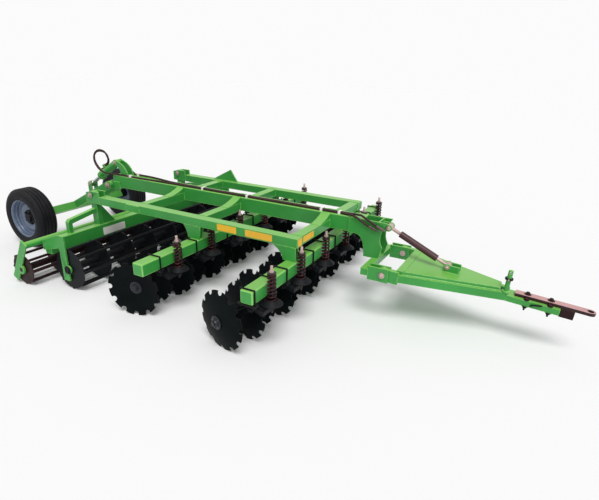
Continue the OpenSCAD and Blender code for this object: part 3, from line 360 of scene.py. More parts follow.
def label(mesh, middle, right, up, width, height, thick=LABEL_T):
    """Thin plate with rounded corners on a flat face, from its middle and its two directions."""
    out = right.cross(up)
    outline = []
    for sx, sy, start in ((1, 1, 0), (-1, 1, 90), (-1, -1, 180), (1, -1, 270)):
        for k in range(CORNER_STEPS + 1):
            a = math.radians(start + k * 90 / CORNER_STEPS)
            outline.append((sx * (width / 2 - LABEL_CORNER) + LABEL_CORNER * math.cos(a),
                            sy * (height / 2 - LABEL_CORNER) + LABEL_CORNER * math.sin(a)))
    low, high = [[mesh.verts.new(middle + right * x + up * y + out * t) for x, y in outline]
                 for t in (LABEL_GAP, thick)]
    mesh.faces.new(low[::-1])
    mesh.faces.new(high)
    for k in range(len(outline)):
        m = (k + 1) % len(outline)
        mesh.faces.new((low[k], low[m], high[m], high[k]))


yellow = coated("label_vinyl", LABEL_YELLOW, LABEL_DEEP, LABEL_YELLOW, rough=0.40, edge=0.0, dust=0.05,
                cloud=6, bump=0.01)
ALONG, OUT_LEFT, UP = Vector((1, 0, 0)), Vector((0, 1, 0)), Vector((0, 0, 1))
labels = bmesh.new()
for back, front in BEAM_LABELS:
    label(labels, spot((back + front) / 2, -SIDE_Y, LABEL_Z), ALONG, UP,
          (front - back) / 1000, BEAM_LABEL_HEIGHT)
for x, y, width, height in FRONT_LABELS:
    label(labels, spot(x, y, LABEL_Z), OUT_LEFT, UP, width, height)
piece("yellow_labels", labels, yellow, "frame")


# Gang beams: two square tubes that carry the disc units, closed by end plates.
# Cold-formed hollow section, hung under the side beams and sprayed with the frame.
GANG_EDGE = 0.012

dress(tube_green, ["front_gang_beam", "rear_gang_beam"], GANG_EDGE)


# Disc unit brackets: plate, ears and clamp bars under the gang beams, with the rocking arms.
# Cast and welded steel, dipped in satin black, held by round clamp bolts over the beam.
BLACK = (0.0045, 0.0048, 0.0056, 1)
BLACK_BLUE = (0.0085, 0.0098, 0.0130, 1)
BARE_STEEL = (0.120, 0.118, 0.116, 1)
ROW_X = {"front": 0.0, "rear": -1125.0}
ROW_Y = {"front": -1250.0, "rear": -1125.0}
UNITS = 6
UNIT_PITCH = 500
PIVOT_X, PIVOT_Z, PIVOT_ENDS = -95, 440, (-171, -79)
PIVOT_FLATS = 0.026

black = coated("satin_black", BLACK, BLACK_BLUE, BARE_STEEL, rough=0.46, edge=0.22, edge_r=0.004,
               dust=0.015, texture=400, shine=0.12)
dress(black, ["unit_brackets", "unit_clamps", "unit_arms"])


def unit_places():
    """Row, number in the row and spring axis of each disc unit."""
    return [(row, i, ROW_X[row], ROW_Y[row] + i * UNIT_PITCH) for row in ROW_X for i in range(UNITS)]


def lathe(mesh, foot, axis, profile, sides=24, closed=False):
    """Turned piece round an axis, from pairs of radius and height above its foot."""
    across = axis.orthogonal().normalized()
    square = axis.cross(across)
    rings = []
    for radius, height in profile:
        middle = foot + axis * height
        if radius < SAME_POINT:
            rings.append([mesh.verts.new(middle)])
            continue
        rings.append([mesh.verts.new(middle + turned(across, square, a) * radius) for a in full_turn(sides)])
    pairs = list(zip(rings, rings[1:] + rings[:1] if closed else rings[1:]))
    for low, high in pairs:
        for k in range(sides):
            m = (k + 1) % sides
            corners = [low[k % len(low)], low[m % len(low)], high[m % len(high)], high[k % len(high)]]
            mesh.faces.new(list(dict.fromkeys(corners)))
    if not closed:
        for ring in (rings[0], rings[-1]):
            if len(ring) > 2:
                mesh.faces.new(ring)


def bolt(mesh, foot, axis, flats, washer=True):
    """Hexagon head with a chamfered top, on a washer."""
    base = 0.12 * flats if washer else 0.0
    if washer:
        lathe(mesh, foot, axis,
              [(1.02 * flats, 0), (1.02 * flats, 0.09 * flats), (0.98 * flats, base)], 20)
    corner = flats / math.sqrt(3)
    lathe(mesh, foot, axis,
          [(corner, base), (corner, base + 0.56 * flats), (0.86 * corner, base + 0.64 * flats)], 6)


pivot_bolts = bmesh.new()
for *_, x, y in unit_places():
    for end, out in zip(PIVOT_ENDS, (-1, 1)):
        bolt(pivot_bolts, spot(x + PIVOT_X, y + end, PIVOT_Z), Vector((0, out, 0)), PIVOT_FLATS)
piece("unit_pivot_bolts", pivot_bolts, black, "frame")


# Coil springs: one over each unit's rod, eight turns of round wire with closed ends.
# Wound hot from spring steel, hardened and painted a dark red-black.
SPRING_RED = (0.056, 0.009, 0.011, 1)
SPRING_DARK = (0.020, 0.006, 0.009, 1)
COIL_R = 32
WIRE_R, WIRE_LAP = 7.8, 0.98
COIL_LOW, COIL_HIGH = 465.2, 707.4
CLOSED_TURNS, OPEN_TURNS = 0.8, 6.4
COIL_STEPS = 22


def coil(x, y):
    """Path of a spring's wire, flat at both ends."""
    flat = 2 * WIRE_R * CLOSED_TURNS * WIRE_LAP
    turns = 2 * CLOSED_TURNS + OPEN_TURNS
    path = []
    for i in range(round(turns * COIL_STEPS) + 1):
        t = i / COIL_STEPS
        if t < CLOSED_TURNS:
            z = COIL_LOW + flat * t / CLOSED_TURNS
        elif t > turns - CLOSED_TURNS:
            z = COIL_HIGH - flat * (turns - t) / CLOSED_TURNS
        else:
            z = COIL_LOW + flat + (COIL_HIGH - COIL_LOW - 2 * flat) * (t - CLOSED_TURNS) / OPEN_TURNS
        a = 2 * math.pi * t
        path.append(spot(x + COIL_R * math.cos(a), y + COIL_R * math.sin(a), z))
    return path


spring_red = coated("spring_enamel", SPRING_RED, SPRING_DARK, BARE_STEEL, rough=0.38, edge=0.0, dust=0.01,
                    cloud=7, shine=0.18)
coils = bmesh.new()
for *_, x, y in unit_places():
    sweep(coils, coil(x, y), WIRE_R / 1000, 10)
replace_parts(piece("coil_springs", coils, spring_red, "frame"), "unit_springs")


# Spring rods: threaded bars through the springs with a washer and nuts.
# Turned steel, dark below and darkened further inside the spring as painted shade between the coils, and bright
# zinc at the thread, screwed to set the spring.
# Dark rod colour: the rod's own dark steel, made darker still as painted shade seen between the spring's coils.
ROD_DARK_AND_SHADE = (0.008, 0.004, 0.005, 1)
ZINC_PINK = (0.640, 0.470, 0.440, 1)
ZINC_DULL = (0.470, 0.330, 0.310, 1)
THREAD_FROM, THREAD_TO = 743, 779
THREAD_PITCH, THREAD_RIDGE, THREAD_STEPS = 3.0, 0.0012, 14
ROD_R = 11
BRIGHT_FROM, BRIGHT_BLEND = 0.7238, 0.001


def under_nut(tree):
    """Mask of what lies below the rod's washer."""
    place = put(tree, "ShaderNodeTexCoord")
    height = put(tree, "ShaderNodeSeparateXYZ", {0: place.outputs["Object"]}).outputs["Z"]
    return ranged(tree, height, BRIGHT_FROM, BRIGHT_FROM + BRIGHT_BLEND, 1.0, 0.0)


zinc = coated("rod_zinc", ZINC_PINK, ZINC_DULL, ZINC_PINK, rough=0.38, edge=0.0, dust=0.05, cloud=12,
              metal=0.25)
rod_zinc = coated("rod_half_zinc", ZINC_PINK, ZINC_DULL, ZINC_PINK, rough=0.38, edge=0.0, dust=0.03,
                  cloud=12, metal=0.2, other=ROD_DARK_AND_SHADE, where=under_nut)
dress(rod_zinc, ["unit_rods"])


def thread(mesh, start, axis, length, radius, pitch, ridge=THREAD_RIDGE):
    """Raised helix on a round bar, from a point on its axis."""
    across = axis.orthogonal().normalized()
    square = axis.cross(across)
    steps = round(length / pitch * THREAD_STEPS)
    path = []
    for i in range(steps + 1):
        a = 2 * math.pi * i / THREAD_STEPS
        path.append(start + axis * (length * i / steps) + turned(across, square, a) * radius)
    sweep(mesh, path, ridge, 5)


threads = bmesh.new()
for *_, x, y in unit_places():
    thread(threads, spot(x, y, THREAD_FROM), UP, (THREAD_TO - THREAD_FROM) / 1000, ROD_R / 1000,
           THREAD_PITCH / 1000)
piece("rod_threads", threads, zinc, "frame")


# Notched discs: two dished discs on each unit's shaft with their hubs and end nuts.
# Pressed boron steel, hardened, lacquered black and bolted through the hub flange.
DISC_BLACK = (0.0019, 0.0031, 0.0033, 1)
DISC_TEAL = (0.0036, 0.0060, 0.0065, 1)
DISC_EDGE = (0.050, 0.054, 0.058, 1)
SHAFT_BACK, SHAFT_SIDE, SHAFT_Z = 356.634, 125, 270
DISC_YAW = math.radians(14)
HOLLOW_SIDE = {"front": 1, "rear": -1}
HUB_FACE = {1: 0.137, -1: 0.131}
HUB_BOLTS, HUB_BOLT_R, HUB_SIDES = 5, 0.049, 28
HUB_FLANGE = [(0.0340, 0.0002), (0.0608, 0.0002), (0.0612, 0.0010), (0.0600, 0.0016), (0.0340, 0.0016)]
HUB_CAP_END, HUB_SHAFT_END = 0.1565, 0.1670
HUB_BLUE = (0.0070, 0.0080, 0.0120, 1)
HUB_GREY = (0.0120, 0.0135, 0.0200, 1)
HUB_RIVET = [(0.0095, 0), (0.0095, 0.003), (0.0075, 0.006), (0.0035, 0.0075), (0, 0.0078)]
HUB_COLLAR = [(0.0355, 0), (0.0385, 0.001), (0.0390, 0.004), (0.0375, 0.0065), (0.0345, 0.0070)]


def hub_cap(face):
    """Profile of the cap and the shaft's end that stand out from a hub's face."""
    cap, tip = HUB_CAP_END - face, HUB_SHAFT_END - face
    return [(0.0335, 0.001), (0.0325, 0.45 * cap), (0.0275, cap), (0.0262, cap + 0.0012),
            (0.0233, cap + 0.0014), (0.0233, tip - 0.002), (0.0205, tip + 0.0006), (0, tip + 0.0008)]


disc_black = coated("disc_lacquer", DISC_BLACK, DISC_TEAL, DISC_EDGE, rough=0.46, edge=0.6, edge_r=0.003,
                    dust=0.01, cloud=5, texture=500, shine=0.04)
hub_grey = coated("hub_casting", HUB_BLUE, HUB_GREY, DISC_EDGE, rough=0.30, edge=0.5, edge_r=0.002,
                  dust=0.01, cloud=14, texture=300, shine=0.35)
dress(disc_black, [f"{row}_discs_{i + 1}" for row in ROW_X for i in range(UNITS)])
for row, i, x, y in unit_places():
    shaft = Vector((math.sin(DISC_YAW), HOLLOW_SIDE[row] * math.cos(DISC_YAW), 0))
    middle = spot(x - SHAFT_BACK, y - SHAFT_SIDE, SHAFT_Z)
    across = shaft.orthogonal().normalized()
    square = shaft.cross(across)
    hub = bmesh.new()
    for end, face in HUB_FACE.items():
        out = shaft * end
        foot = middle + out * face
        lathe(hub, foot, out, HUB_FLANGE, HUB_SIDES, closed=True)
        lathe(hub, foot, out, HUB_COLLAR, HUB_SIDES)
        lathe(hub, foot, out, hub_cap(face), HUB_SIDES)
        for a in full_turn(HUB_BOLTS):
            lathe(hub, foot + turned(across, square, a) * HUB_BOLT_R, out, HUB_RIVET, 14)
    piece(f"{row}_hub_rivets_{i + 1}", hub, hub_grey, f"{row}_discs_{i + 1}")


# Mast and headstock: plates from the centre beam's nose down to a cross beam with two clevises.
# Flame-cut plate welded over the tube; the drawbar's pins are turned and held by end plates.
PIN_GREY = (0.560, 0.430, 0.390, 1)
PIN_DULL = (0.360, 0.270, 0.250, 1)
PIN_X, PIN_Z, PIN_OUT, PIN_FLATS = 628, 502, 377, 0.026
MAST_BACK, MAST_SIDE = 160, 91
MAST_BEAD_Y, MAST_BEAD_ENDS = CENTRE_Y + 2, (BEAM_LOW + 6, CENTRE_TOP - 6)
BLOCK_BACK, BLOCK_FRONT, BLOCK_LOW, BLOCK_TOP = 420, 490, 467, 537
CLEVIS_SIDES = (279, 295, 351, 367)
LINK_PIN, LINK_OUT, LINK_FLATS = (553, 854), 50, 0.024
SMALL_EDGE = 0.002

dress(green, ["mast", "headstock"], PLATE_EDGE)
pin_grey = coated("pin_zinc", PIN_GREY, PIN_DULL, PIN_GREY, rough=0.35, edge=0.0, dust=0.06, cloud=14,
                  metal=0.5)
dress(pin_grey, ["headstock_pins"], SMALL_EDGE)
mast_beads = bmesh.new()
pin_bolts = bmesh.new()
for side in (-1, 1):
    out = Vector((0, side, 0))
    weld(mast_beads, [spot(MAST_BACK, side * MAST_BEAD_Y, z) for z in MAST_BEAD_ENDS])
    weld(mast_beads, [spot(x, side * (MAST_SIDE + WELD_LIFT), BLOCK_TOP)
                      for x in (BLOCK_BACK + WELD_INSET, BLOCK_FRONT - WELD_INSET)])
    for y in CLEVIS_SIDES:
        weld(mast_beads, [spot(BLOCK_FRONT, side * y, z)
                          for z in (BLOCK_LOW + WELD_INSET, BLOCK_TOP - WELD_INSET)])
    bolt(pin_bolts, spot(PIN_X, side * PIN_OUT, PIN_Z), out, PIN_FLATS)
    bolt(pin_bolts, spot(LINK_PIN[0], side * LINK_OUT, LINK_PIN[1]), out, LINK_FLATS)
piece("mast_welds", mast_beads, green, "frame")
piece("headstock_bolts", pin_bolts, pin_grey, "frame")


# Drawbar: two tubes from the ears to the nose under a deck plate, with a post for the hoses.
# Welded tube and plate in the frame's green, free to hinge on the headstock's pins.
DRAWBAR_TILT = math.radians(3.6)
STEP_EDGE = 0.0012
EAR_Y, EAR_REACH, NOSE_Y, NOSE_AT = 323, 120, 48, 1050
EAR_BEAD_X, EAR_BEAD_Y, EAR_BEAD_HALF = 145, EAR_Y + 22, 56
DECK_TO, DECK_TOP, TUBE_TOP = 980, 68, 38.5
CROSS_BAR_FRONT, CROSS_BEAD_HALF = 180, EAR_Y - 24
LUG_SIDES, LUG_RUN = (34, 50), (474, 610)
POST_X, POST_Y = 1030, -60
POST_RING = [(0.0215, 0.1575), (0.0320, 0.1575), (0.0345, 0.1605),
             (0.0345, 0.1725), (0.0320, 0.1755), (0.0215, 0.1755)]
POST_BOLT_Y, POST_BOLT_Z, POST_BOLT_FLATS = POST_Y - 34, 166.5, 0.014
LINK_LOW = (504, 110)

dress(green, ["drawbar_frame"], STEP_EDGE)
dress(green, ["drawbar_post"], SMALL_EDGE)


def on_drawbar(x, y, z):
    """Point from millimetres along the drawbar from its pins, beside it and above it."""
    return spot(PIN_X + x * math.cos(DRAWBAR_TILT) + z * math.sin(DRAWBAR_TILT), y,
                PIN_Z - x * math.sin(DRAWBAR_TILT) + z * math.cos(DRAWBAR_TILT))


def tube_y(x):
    """Distance of a drawbar tube's axis from the middle, at a place along the drawbar."""
    return EAR_Y - (EAR_Y - NOSE_Y) / (NOSE_AT - EAR_REACH) * (x - EAR_REACH)


DECK_UP = (on_drawbar(0, 0, 1) - on_drawbar(0, 0, 0)).normalized()
DECK_BEAD_HALF = tube_y(DECK_TO) - 6
drawbar_beads = bmesh.new()
drawbar_bolts = bmesh.new()
for side in (-1, 1):
    weld(drawbar_beads, [on_drawbar(x, side * tube_y(x), TUBE_TOP + WELD_LIFT)
                         for x in (CROSS_BAR_FRONT + WELD_INSET, DECK_TO)])
    for y in LUG_SIDES:
        weld(drawbar_beads, [on_drawbar(x, side * y, DECK_TOP) for x in LUG_RUN])
    weld(drawbar_beads, [on_drawbar(EAR_BEAD_X, side * EAR_BEAD_Y, z) for z in (-EAR_BEAD_HALF, EAR_BEAD_HALF)])
    bolt(drawbar_bolts, on_drawbar(LINK_LOW[0], side * LINK_OUT, LINK_LOW[1]), Vector((0, side, 0)), LINK_FLATS)
for x, half, z in ((CROSS_BAR_FRONT, CROSS_BEAD_HALF, DECK_TOP), (DECK_TO, DECK_BEAD_HALF, TUBE_TOP)):
    weld(drawbar_beads, [on_drawbar(x, y, z + WELD_LIFT) for y in (-half, half)])
piece("drawbar_welds", drawbar_beads, green, "drawbar")

post_ring = bmesh.new()
lathe(post_ring, on_drawbar(POST_X, POST_Y, 0), DECK_UP, POST_RING, 36, closed=True)
piece("post_ring", post_ring, black, "drawbar")
bolt(drawbar_bolts, on_drawbar(POST_X, POST_BOLT_Y, POST_BOLT_Z), -OUT_LEFT, POST_BOLT_FLATS, washer=False)
piece("drawbar_bolts", drawbar_bolts, pin_grey, "drawbar")


# Tongue: a flat bar with the hitch eye, bolted over a channel on the drawbar's nose.
# Thick rolled bar, pale pink on its top, with the faces that don't look up darkened to the primer colour as
# painted shade; two bolts go through the nose.
TONGUE_PINK = (0.640, 0.365, 0.360, 1)
TONGUE_DULL = (0.540, 0.290, 0.285, 1)
PRIMER = (0.026, 0.008, 0.009, 1)
PRIMER_DARK = (0.015, 0.006, 0.007, 1)
TONGUE_TOP, NOSE_LOW, NOSE_TOP = 45, -40, 15
TONGUE_BOLTS, TONGUE_FLATS = (1205, 1390), 0.029
CLAMP_Y, CLAMP_FLATS, TAIL_FLATS = 58, 0.024, 0.030
CLAMP_TAIL = [(0.0080, 0.020), (0.0080, 0.040), (0.0066, 0.043)]
HOOK = [(1246, -76, -22), (1250, -84, -14), (1262, -88, -6), (1292, -89, 2), (1316, -86, 6), (1330, -76, 6)]
HOOK_R = 0.007


def looking_down(tree):
    """Mask of faces that don't look up."""
    return ranged(tree, facing_up(tree), 0.55, 0.85, 1.0, 0.0)


# Faces that don't look up take the dark primer colour: painted shade.
tongue_pink = coated("pink_primer_painted_shade", TONGUE_PINK, TONGUE_DULL, ZINC_PINK, rough=0.46, edge=0.5, edge_r=0.004,
                     dust=0.04, cloud=6, shine=0.3, other=PRIMER, where=looking_down)
primer = coated("brown_primer", PRIMER, PRIMER_DARK, TONGUE_DULL, rough=0.46, edge=0.25, edge_r=0.003,
                dust=0.03, cloud=6, shine=0.15)
dress(tongue_pink, ["tongue"], PLATE_EDGE)
dress(primer, ["tongue_channel"], PLATE_EDGE)
tongue_bolts = bmesh.new()
clamp_tails = bmesh.new()
for x in TONGUE_BOLTS:
    bolt(tongue_bolts, on_drawbar(x, 0, TONGUE_TOP), DECK_UP, TONGUE_FLATS)
    for y in (-CLAMP_Y, CLAMP_Y):
        bolt(tongue_bolts, on_drawbar(x, y, NOSE_TOP), DECK_UP, CLAMP_FLATS)
        bolt(clamp_tails, on_drawbar(x, y, NOSE_LOW), -DECK_UP, TAIL_FLATS)
        lathe(clamp_tails, on_drawbar(x, y, NOSE_LOW), -DECK_UP, CLAMP_TAIL, 14)
sweep(clamp_tails, [on_drawbar(*p) for p in HOOK], HOOK_R, 10)
piece("tongue_bolts", tongue_bolts, primer, "drawbar")
piece("nose_clamp_tails", clamp_tails, black, "drawbar")


# Turnbuckle: a tube between mast and drawbar with a screwed rod and an eye at each end.
# Thick-walled tube in dark primer; the rods and eyes are bright and threaded.
LINK_TOP = spot(LINK_PIN[0], 0, LINK_PIN[1])
LINK_AXIS = (on_drawbar(LINK_LOW[0], 0, LINK_LOW[1]) - LINK_TOP).normalized()
LINK_TUBE_FROM, LINK_BLEND = 0.120, 0.002
LINK_ROD_R, LINK_PITCH, LINK_RIDGE = 0.016, 0.005, 0.0016
LINK_THREADS = (("upper", "turnbuckle_tube", 0.040, 0.118), ("lower", "turnbuckle_rod", 0.584, 0.606))
LINK_BROWN = (0.062, 0.021, 0.025, 1)


def on_tube(tree):
    """Mask of the turnbuckle's thick tube, by the distance along it from its upper pin."""
    place = put(tree, "ShaderNodeTexCoord")
    along = put(tree, "ShaderNodeVectorMath", {0: place.outputs["Object"], 1: LINK_TOP}, operation="SUBTRACT")
    run = put(tree, "ShaderNodeVectorMath", {0: along.outputs[0], 1: LINK_AXIS}, operation="DOT_PRODUCT")
    return ranged(tree, run.outputs["Value"], LINK_TUBE_FROM - LINK_BLEND, LINK_TUBE_FROM)


link_tube = coated("link_primer", ZINC_PINK, ZINC_DULL, ZINC_PINK, rough=0.42, edge=0.2, edge_r=0.003,
                   dust=0.03, cloud=9, shine=0.35, other=LINK_BROWN, where=on_tube)
dress(link_tube, ["turnbuckle_tube"], SMALL_EDGE)
dress(zinc, ["turnbuckle_rod"])
for name, body, start, end in LINK_THREADS:
    screw = bmesh.new()
    thread(screw, LINK_TOP + LINK_AXIS * start, LINK_AXIS, end - start, LINK_ROD_R, LINK_PITCH, LINK_RIDGE)
    piece(f"turnbuckle_{name}_thread", screw, zinc, body)


# Wheel carriage: two arms on the centre beam's rear end, a tie tube and the axle beam.
# Welded box and tube in green, swung by the lift cylinder on pins with bolted ends.
CARRIAGE_PIN, CARRIAGE_OUT, CARRIAGE_FLATS = (-3218, 783), 148, 0.036
LEVER_PIN, HORN_PIN, CLEVIS_OUT, RAM_FLATS = (-3700, 717), (-3144, 1069), 52, 0.026
HORN_FOOT, HORN_SIDES = (-3052, -2932), (36, 52)

dress(green, ["carriage_arms", "axle_beam", "carriage_lugs"], STEP_EDGE)
dress(green, ["lift_horn"], SMALL_EDGE)
carriage_bolts = bmesh.new()
lever_bolts = bmesh.new()
horn_beads = bmesh.new()
for side in (-1, 1):
    out = Vector((0, side, 0))
    bolt(carriage_bolts, spot(CARRIAGE_PIN[0], side * CARRIAGE_OUT, CARRIAGE_PIN[1]), out, CARRIAGE_FLATS)
    bolt(carriage_bolts, spot(HORN_PIN[0], side * CLEVIS_OUT, HORN_PIN[1]), out, RAM_FLATS)
    bolt(lever_bolts, spot(LEVER_PIN[0], side * CLEVIS_OUT, LEVER_PIN[1]), out, RAM_FLATS)
    for y in HORN_SIDES:
        weld(horn_beads, [spot(x, side * y, CENTRE_TOP + WELD_LIFT) for x in HORN_FOOT])
piece("carriage_pin_bolts", carriage_bolts, pin_grey, "frame")
piece("lever_pin_bolts", lever_bolts, pin_grey, "carriage")
piece("horn_welds", horn_beads, green, "frame")


# Wheels: ribbed implement tyres on pressed steel rims, each on a hub with five studs.
# Rubber moulded with five ribs; the rim is spun from sheet, welded and painted grey-blue.
RIM_BLUE = (0.112, 0.152, 0.232, 1)
RIM_DEEP = (0.062, 0.085, 0.135, 1)
RIM_WORN = (0.400, 0.450, 0.520, 1)
RUBBER = (0.0048, 0.0052, 0.0064, 1)
RUBBER_GREY = (0.0100, 0.0106, 0.0125, 1)
AXLE_X, AXLE_Z, WHEEL_Y = -4000, 380, 755
TYRE_SIDE = [(0.2315, 0.0920), (0.2330, 0.1040), (0.2460, 0.1125), (0.2500, 0.1165), (0.2560, 0.1168),
             (0.2600, 0.1195), (0.2800, 0.1250), (0.2990, 0.1272), (0.3010, 0.1255), (0.3050, 0.1255),
             (0.3070, 0.1272), (0.3240, 0.1250), (0.3420, 0.1190), (0.3560, 0.1100), (0.3655, 0.1010),
             (0.3710, 0.0920)]
TYRE_SHARP = math.radians(32)
TREAD_R = 0.380
SHOULDER = [(TREAD_R - 0.004, 0.088), (TREAD_R - 0.001, 0.080)]
GROOVES = (0.066, 0.024)
GROOVE_HALF, GROOVE_BED_HALF, GROOVE_DEEP, GROOVE_ROUND = 0.006, 0.0036, 0.011, 0.002
RIM_PROFILE = [(0.2420, 0.1135), (0.2420, 0.1075), (0.2335, 0.1020), (0.2290, 0.0900), (0.2290, 0.0800),
               (0.2150, 0.0620), (0.2130, 0.0540), (0.2110, 0.0300), (0.2000, 0.0220), (0.1840, 0.0260),
               (0.1660, 0.0340), (0.1480, 0.0330), (0.1300, 0.0220), (0.1120, 0.0165), (0.0630, 0.0160),
               (0.0630, 0.0085), (0.1120, 0.0085), (0.1300, 0.0140), (0.1480, 0.0250), (0.1660, 0.0260),
               (0.1840, 0.0180), (0.2060, 0.0140), (0.2080, -0.0700), (0.2230, -0.0850), (0.2240, -0.0960),
               (0.2330, -0.1080), (0.2420, -0.1135), (0.2420, -0.1075), (0.2335, -0.1020), (0.2290, -0.0900),
               (0.2290, -0.0800), (0.2150, -0.0620), (0.2150, 0.0500), (0.2230, 0.0850), (0.2240, 0.0960),
               (0.2330, 0.1080)]
HUB_PROFILE = [(0.0300, -0.0750), (0.0620, -0.0750), (0.0628, 0.0160), (0.0980, 0.0164), (0.0980, 0.0220),
               (0.0960, 0.0240), (0.0600, 0.0250), (0.0560, 0.0300), (0.0540, 0.0480), (0.0500, 0.0540),
               (0.0300, 0.0570), (0, 0.0575)]
STUDS, STUD_R, STUD_FLATS, STUD_FACE = 5, 0.080, 0.022, 0.0245

rim_blue = coated("rim_enamel", RIM_BLUE, RIM_DEEP, RIM_WORN, rough=0.40, edge=0.4, edge_r=0.004, dust=0.08,
                  coat=0.2)
rubber = coated("tyre_rubber", RUBBER, RUBBER_GREY, RUBBER_GREY, rough=0.60, edge=0.3, edge_r=0.004, dust=0.05,
                cloud=8, texture=600, bump=0.08, shine=0.15)


def tread():
    """Outer half of a tyre's running face, from the shoulder to the middle, with its grooves."""
    bed, lip = TREAD_R - GROOVE_DEEP, TREAD_R - GROOVE_ROUND
    points = list(SHOULDER)
    for groove in GROOVES:
        points += [(TREAD_R, groove + GROOVE_HALF + GROOVE_ROUND), (lip, groove + GROOVE_HALF),
                   (bed, groove + GROOVE_BED_HALF), (bed, groove - GROOVE_BED_HALF),
                   (lip, groove - GROOVE_HALF), (TREAD_R, groove - GROOVE_HALF - GROOVE_ROUND)]
    return points


outer_half = TYRE_SIDE + tread()
tyre_profile = outer_half + [(r, -y) for r, y in outer_half[::-1]]
for name, side in (("left", 1), ("right", -1)):
    middle = spot(AXLE_X, side * WHEEL_Y, AXLE_Z)
    out = Vector((0, side, 0))
    tyre = bmesh.new()
    lathe(tyre, middle, out, tyre_profile, 96, closed=True)
    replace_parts(piece(f"{name}_ribbed_tyre", tyre, rubber, f"{name}_wheel", TYRE_SHARP), f"{name}_tyre")
    rim = bmesh.new()
    lathe(rim, middle, out, RIM_PROFILE, 72, closed=True)
    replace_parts(piece(f"{name}_pressed_rim", rim, rim_blue, f"{name}_wheel"), f"{name}_rim")
    hub = bmesh.new()
    lathe(hub, middle, out, HUB_PROFILE, 40)
    for a in full_turn(STUDS):
        bolt(hub, middle + turned(ALONG, UP, a) * STUD_R + out * STUD_FACE, out, STUD_FLATS)
    piece(f"{name}_wheel_hub", hub, black, f"{name}_wheel")


# Lift cylinder: a single hydraulic ram between the horn on the centre beam and the carriage.
# Honed tube sprayed green with the frame; its piston rod is hard-chromed.
CHROME = (0.620, 0.620, 0.630, 1)
CHROME_DULL = (0.480, 0.480, 0.490, 1)
HORN_AT = spot(HORN_PIN[0], 0, HORN_PIN[1])
RAM_AXIS = (spot(LEVER_PIN[0], 0, LEVER_PIN[1]) - HORN_AT).normalized()
GLAND_AT, WIPER_IN = 0.420, 0.0258
WIPER = [(WIPER_IN, 0), (0.0420, 0), (0.0440, 0.003), (0.0420, 0.008), (0.0300, 0.011), (WIPER_IN, 0.0115)]
TIE_BOLTS, TIE_BOLT_R = 6, 0.0475

chrome = coated("hard_chrome", CHROME, CHROME_DULL, CHROME, rough=0.16, edge=0.0, dust=0.03, cloud=20, bump=0.0,
                metal=1.0)
dress(green, ["cylinder_barrel"], STEP_EDGE)
dress(chrome, ["cylinder_rod"])
gland = bmesh.new()
gland_face = HORN_AT + RAM_AXIS * GLAND_AT
lathe(gland, gland_face, RAM_AXIS, WIPER, 36, closed=True)
ram_up = OUT_LEFT.cross(RAM_AXIS)
for a in full_turn(TIE_BOLTS, 0.5):
    lathe(gland, gland_face + turned(OUT_LEFT, ram_up, a) * TIE_BOLT_R, RAM_AXIS, HUB_RIVET, 12)
piece("cylinder_gland", gland, black, "cylinder_barrel")


# Roller frame: a cross beam on two posts with braces, side arms and a rear tube.
# Welded tube and plate in green, hung on two pins at the side beams' ends.
BEAM_FRONT, ROLLER_BEAM_TOP = -2690, 495
POST_FOOT = ((-2785, -2695), (681, 743))
BRACE_FOOT = ((-2765, -2715), (1065, 1115))
ROLLER_PIN, ROLLER_PIN_IN, ROLLER_PIN_OUT, ROLLER_PIN_FLATS = (-2745, 855), 652, 772, 0.030
PLATE_WHITE = (0.900, 0.870, 0.840, 1)
PLATE_CREAM = (0.860, 0.820, 0.780, 1)
PLATE_MIDDLE, PLATE_SIZE, PLATE_T = (-545, 407), (0.320, 0.088), 0.003
PLATE_RIVET = [(0.005, 0.002), (0.005, 0.004), (0.003, 0.0055), (0, 0.006)]
PLATE_RIVET_ACROSS, PLATE_RIVET_UP = 0.42, 0.30
BEARING = [(0.0150, 0), (0.0440, 0), (0.0450, 0.001), (0.0450, 0.008), (0.0330, 0.010), (0.0300, 0.017),
           (0.0270, 0.020), (0.0180, 0.0205), (0.0170, 0.016), (0, 0.016)]
BEARING_BOLTS, BEARING_BOLT_R, BEARING_BOLT_FACE, BEARING_BOLT_FLATS = 4, 0.038, 0.0085, 0.010
FRONT_AXLE, FRONT_ARM_OUT = (-2430, 230), 1396

dress(green, ["roller_lugs", "roller_posts", "roller_braces", "front_roller_arms"], PLATE_EDGE)
dress(green, ["rear_roller_frame"], STEP_EDGE)
dress(green, ["roller_beam"], TUBE_EDGE)
roller_beads = bmesh.new()
lug_bolts = bmesh.new()
bearings = bmesh.new()
for side in (-1, 1):
    out = Vector((0, side, 0))
    for (back, front), (near, far) in (POST_FOOT, BRACE_FOOT):
        foot = ((back, near), (front, near), (front, far), (back, far))
        weld(roller_beads, [spot(x, side * y, ROLLER_BEAM_TOP) for x, y in foot], True)
    for reach, way in ((ROLLER_PIN_IN, -out), (ROLLER_PIN_OUT, out)):
        bolt(lug_bolts, spot(ROLLER_PIN[0], side * reach, ROLLER_PIN[1]), way, ROLLER_PIN_FLATS)
    middle = spot(FRONT_AXLE[0], side * FRONT_ARM_OUT, FRONT_AXLE[1])
    lathe(bearings, middle, out, BEARING, 36)
    for a in full_turn(BEARING_BOLTS, 0.5):
        bolt(bearings, middle + turned(ALONG, UP, a) * BEARING_BOLT_R + out * BEARING_BOLT_FACE,
             out, BEARING_BOLT_FLATS, washer=False)
piece("roller_frame_welds", roller_beads, green, "roller_frame")
piece("roller_pin_bolts", lug_bolts, pin_grey, "frame")
piece("front_roller_bearings", bearings, black, "roller_frame")

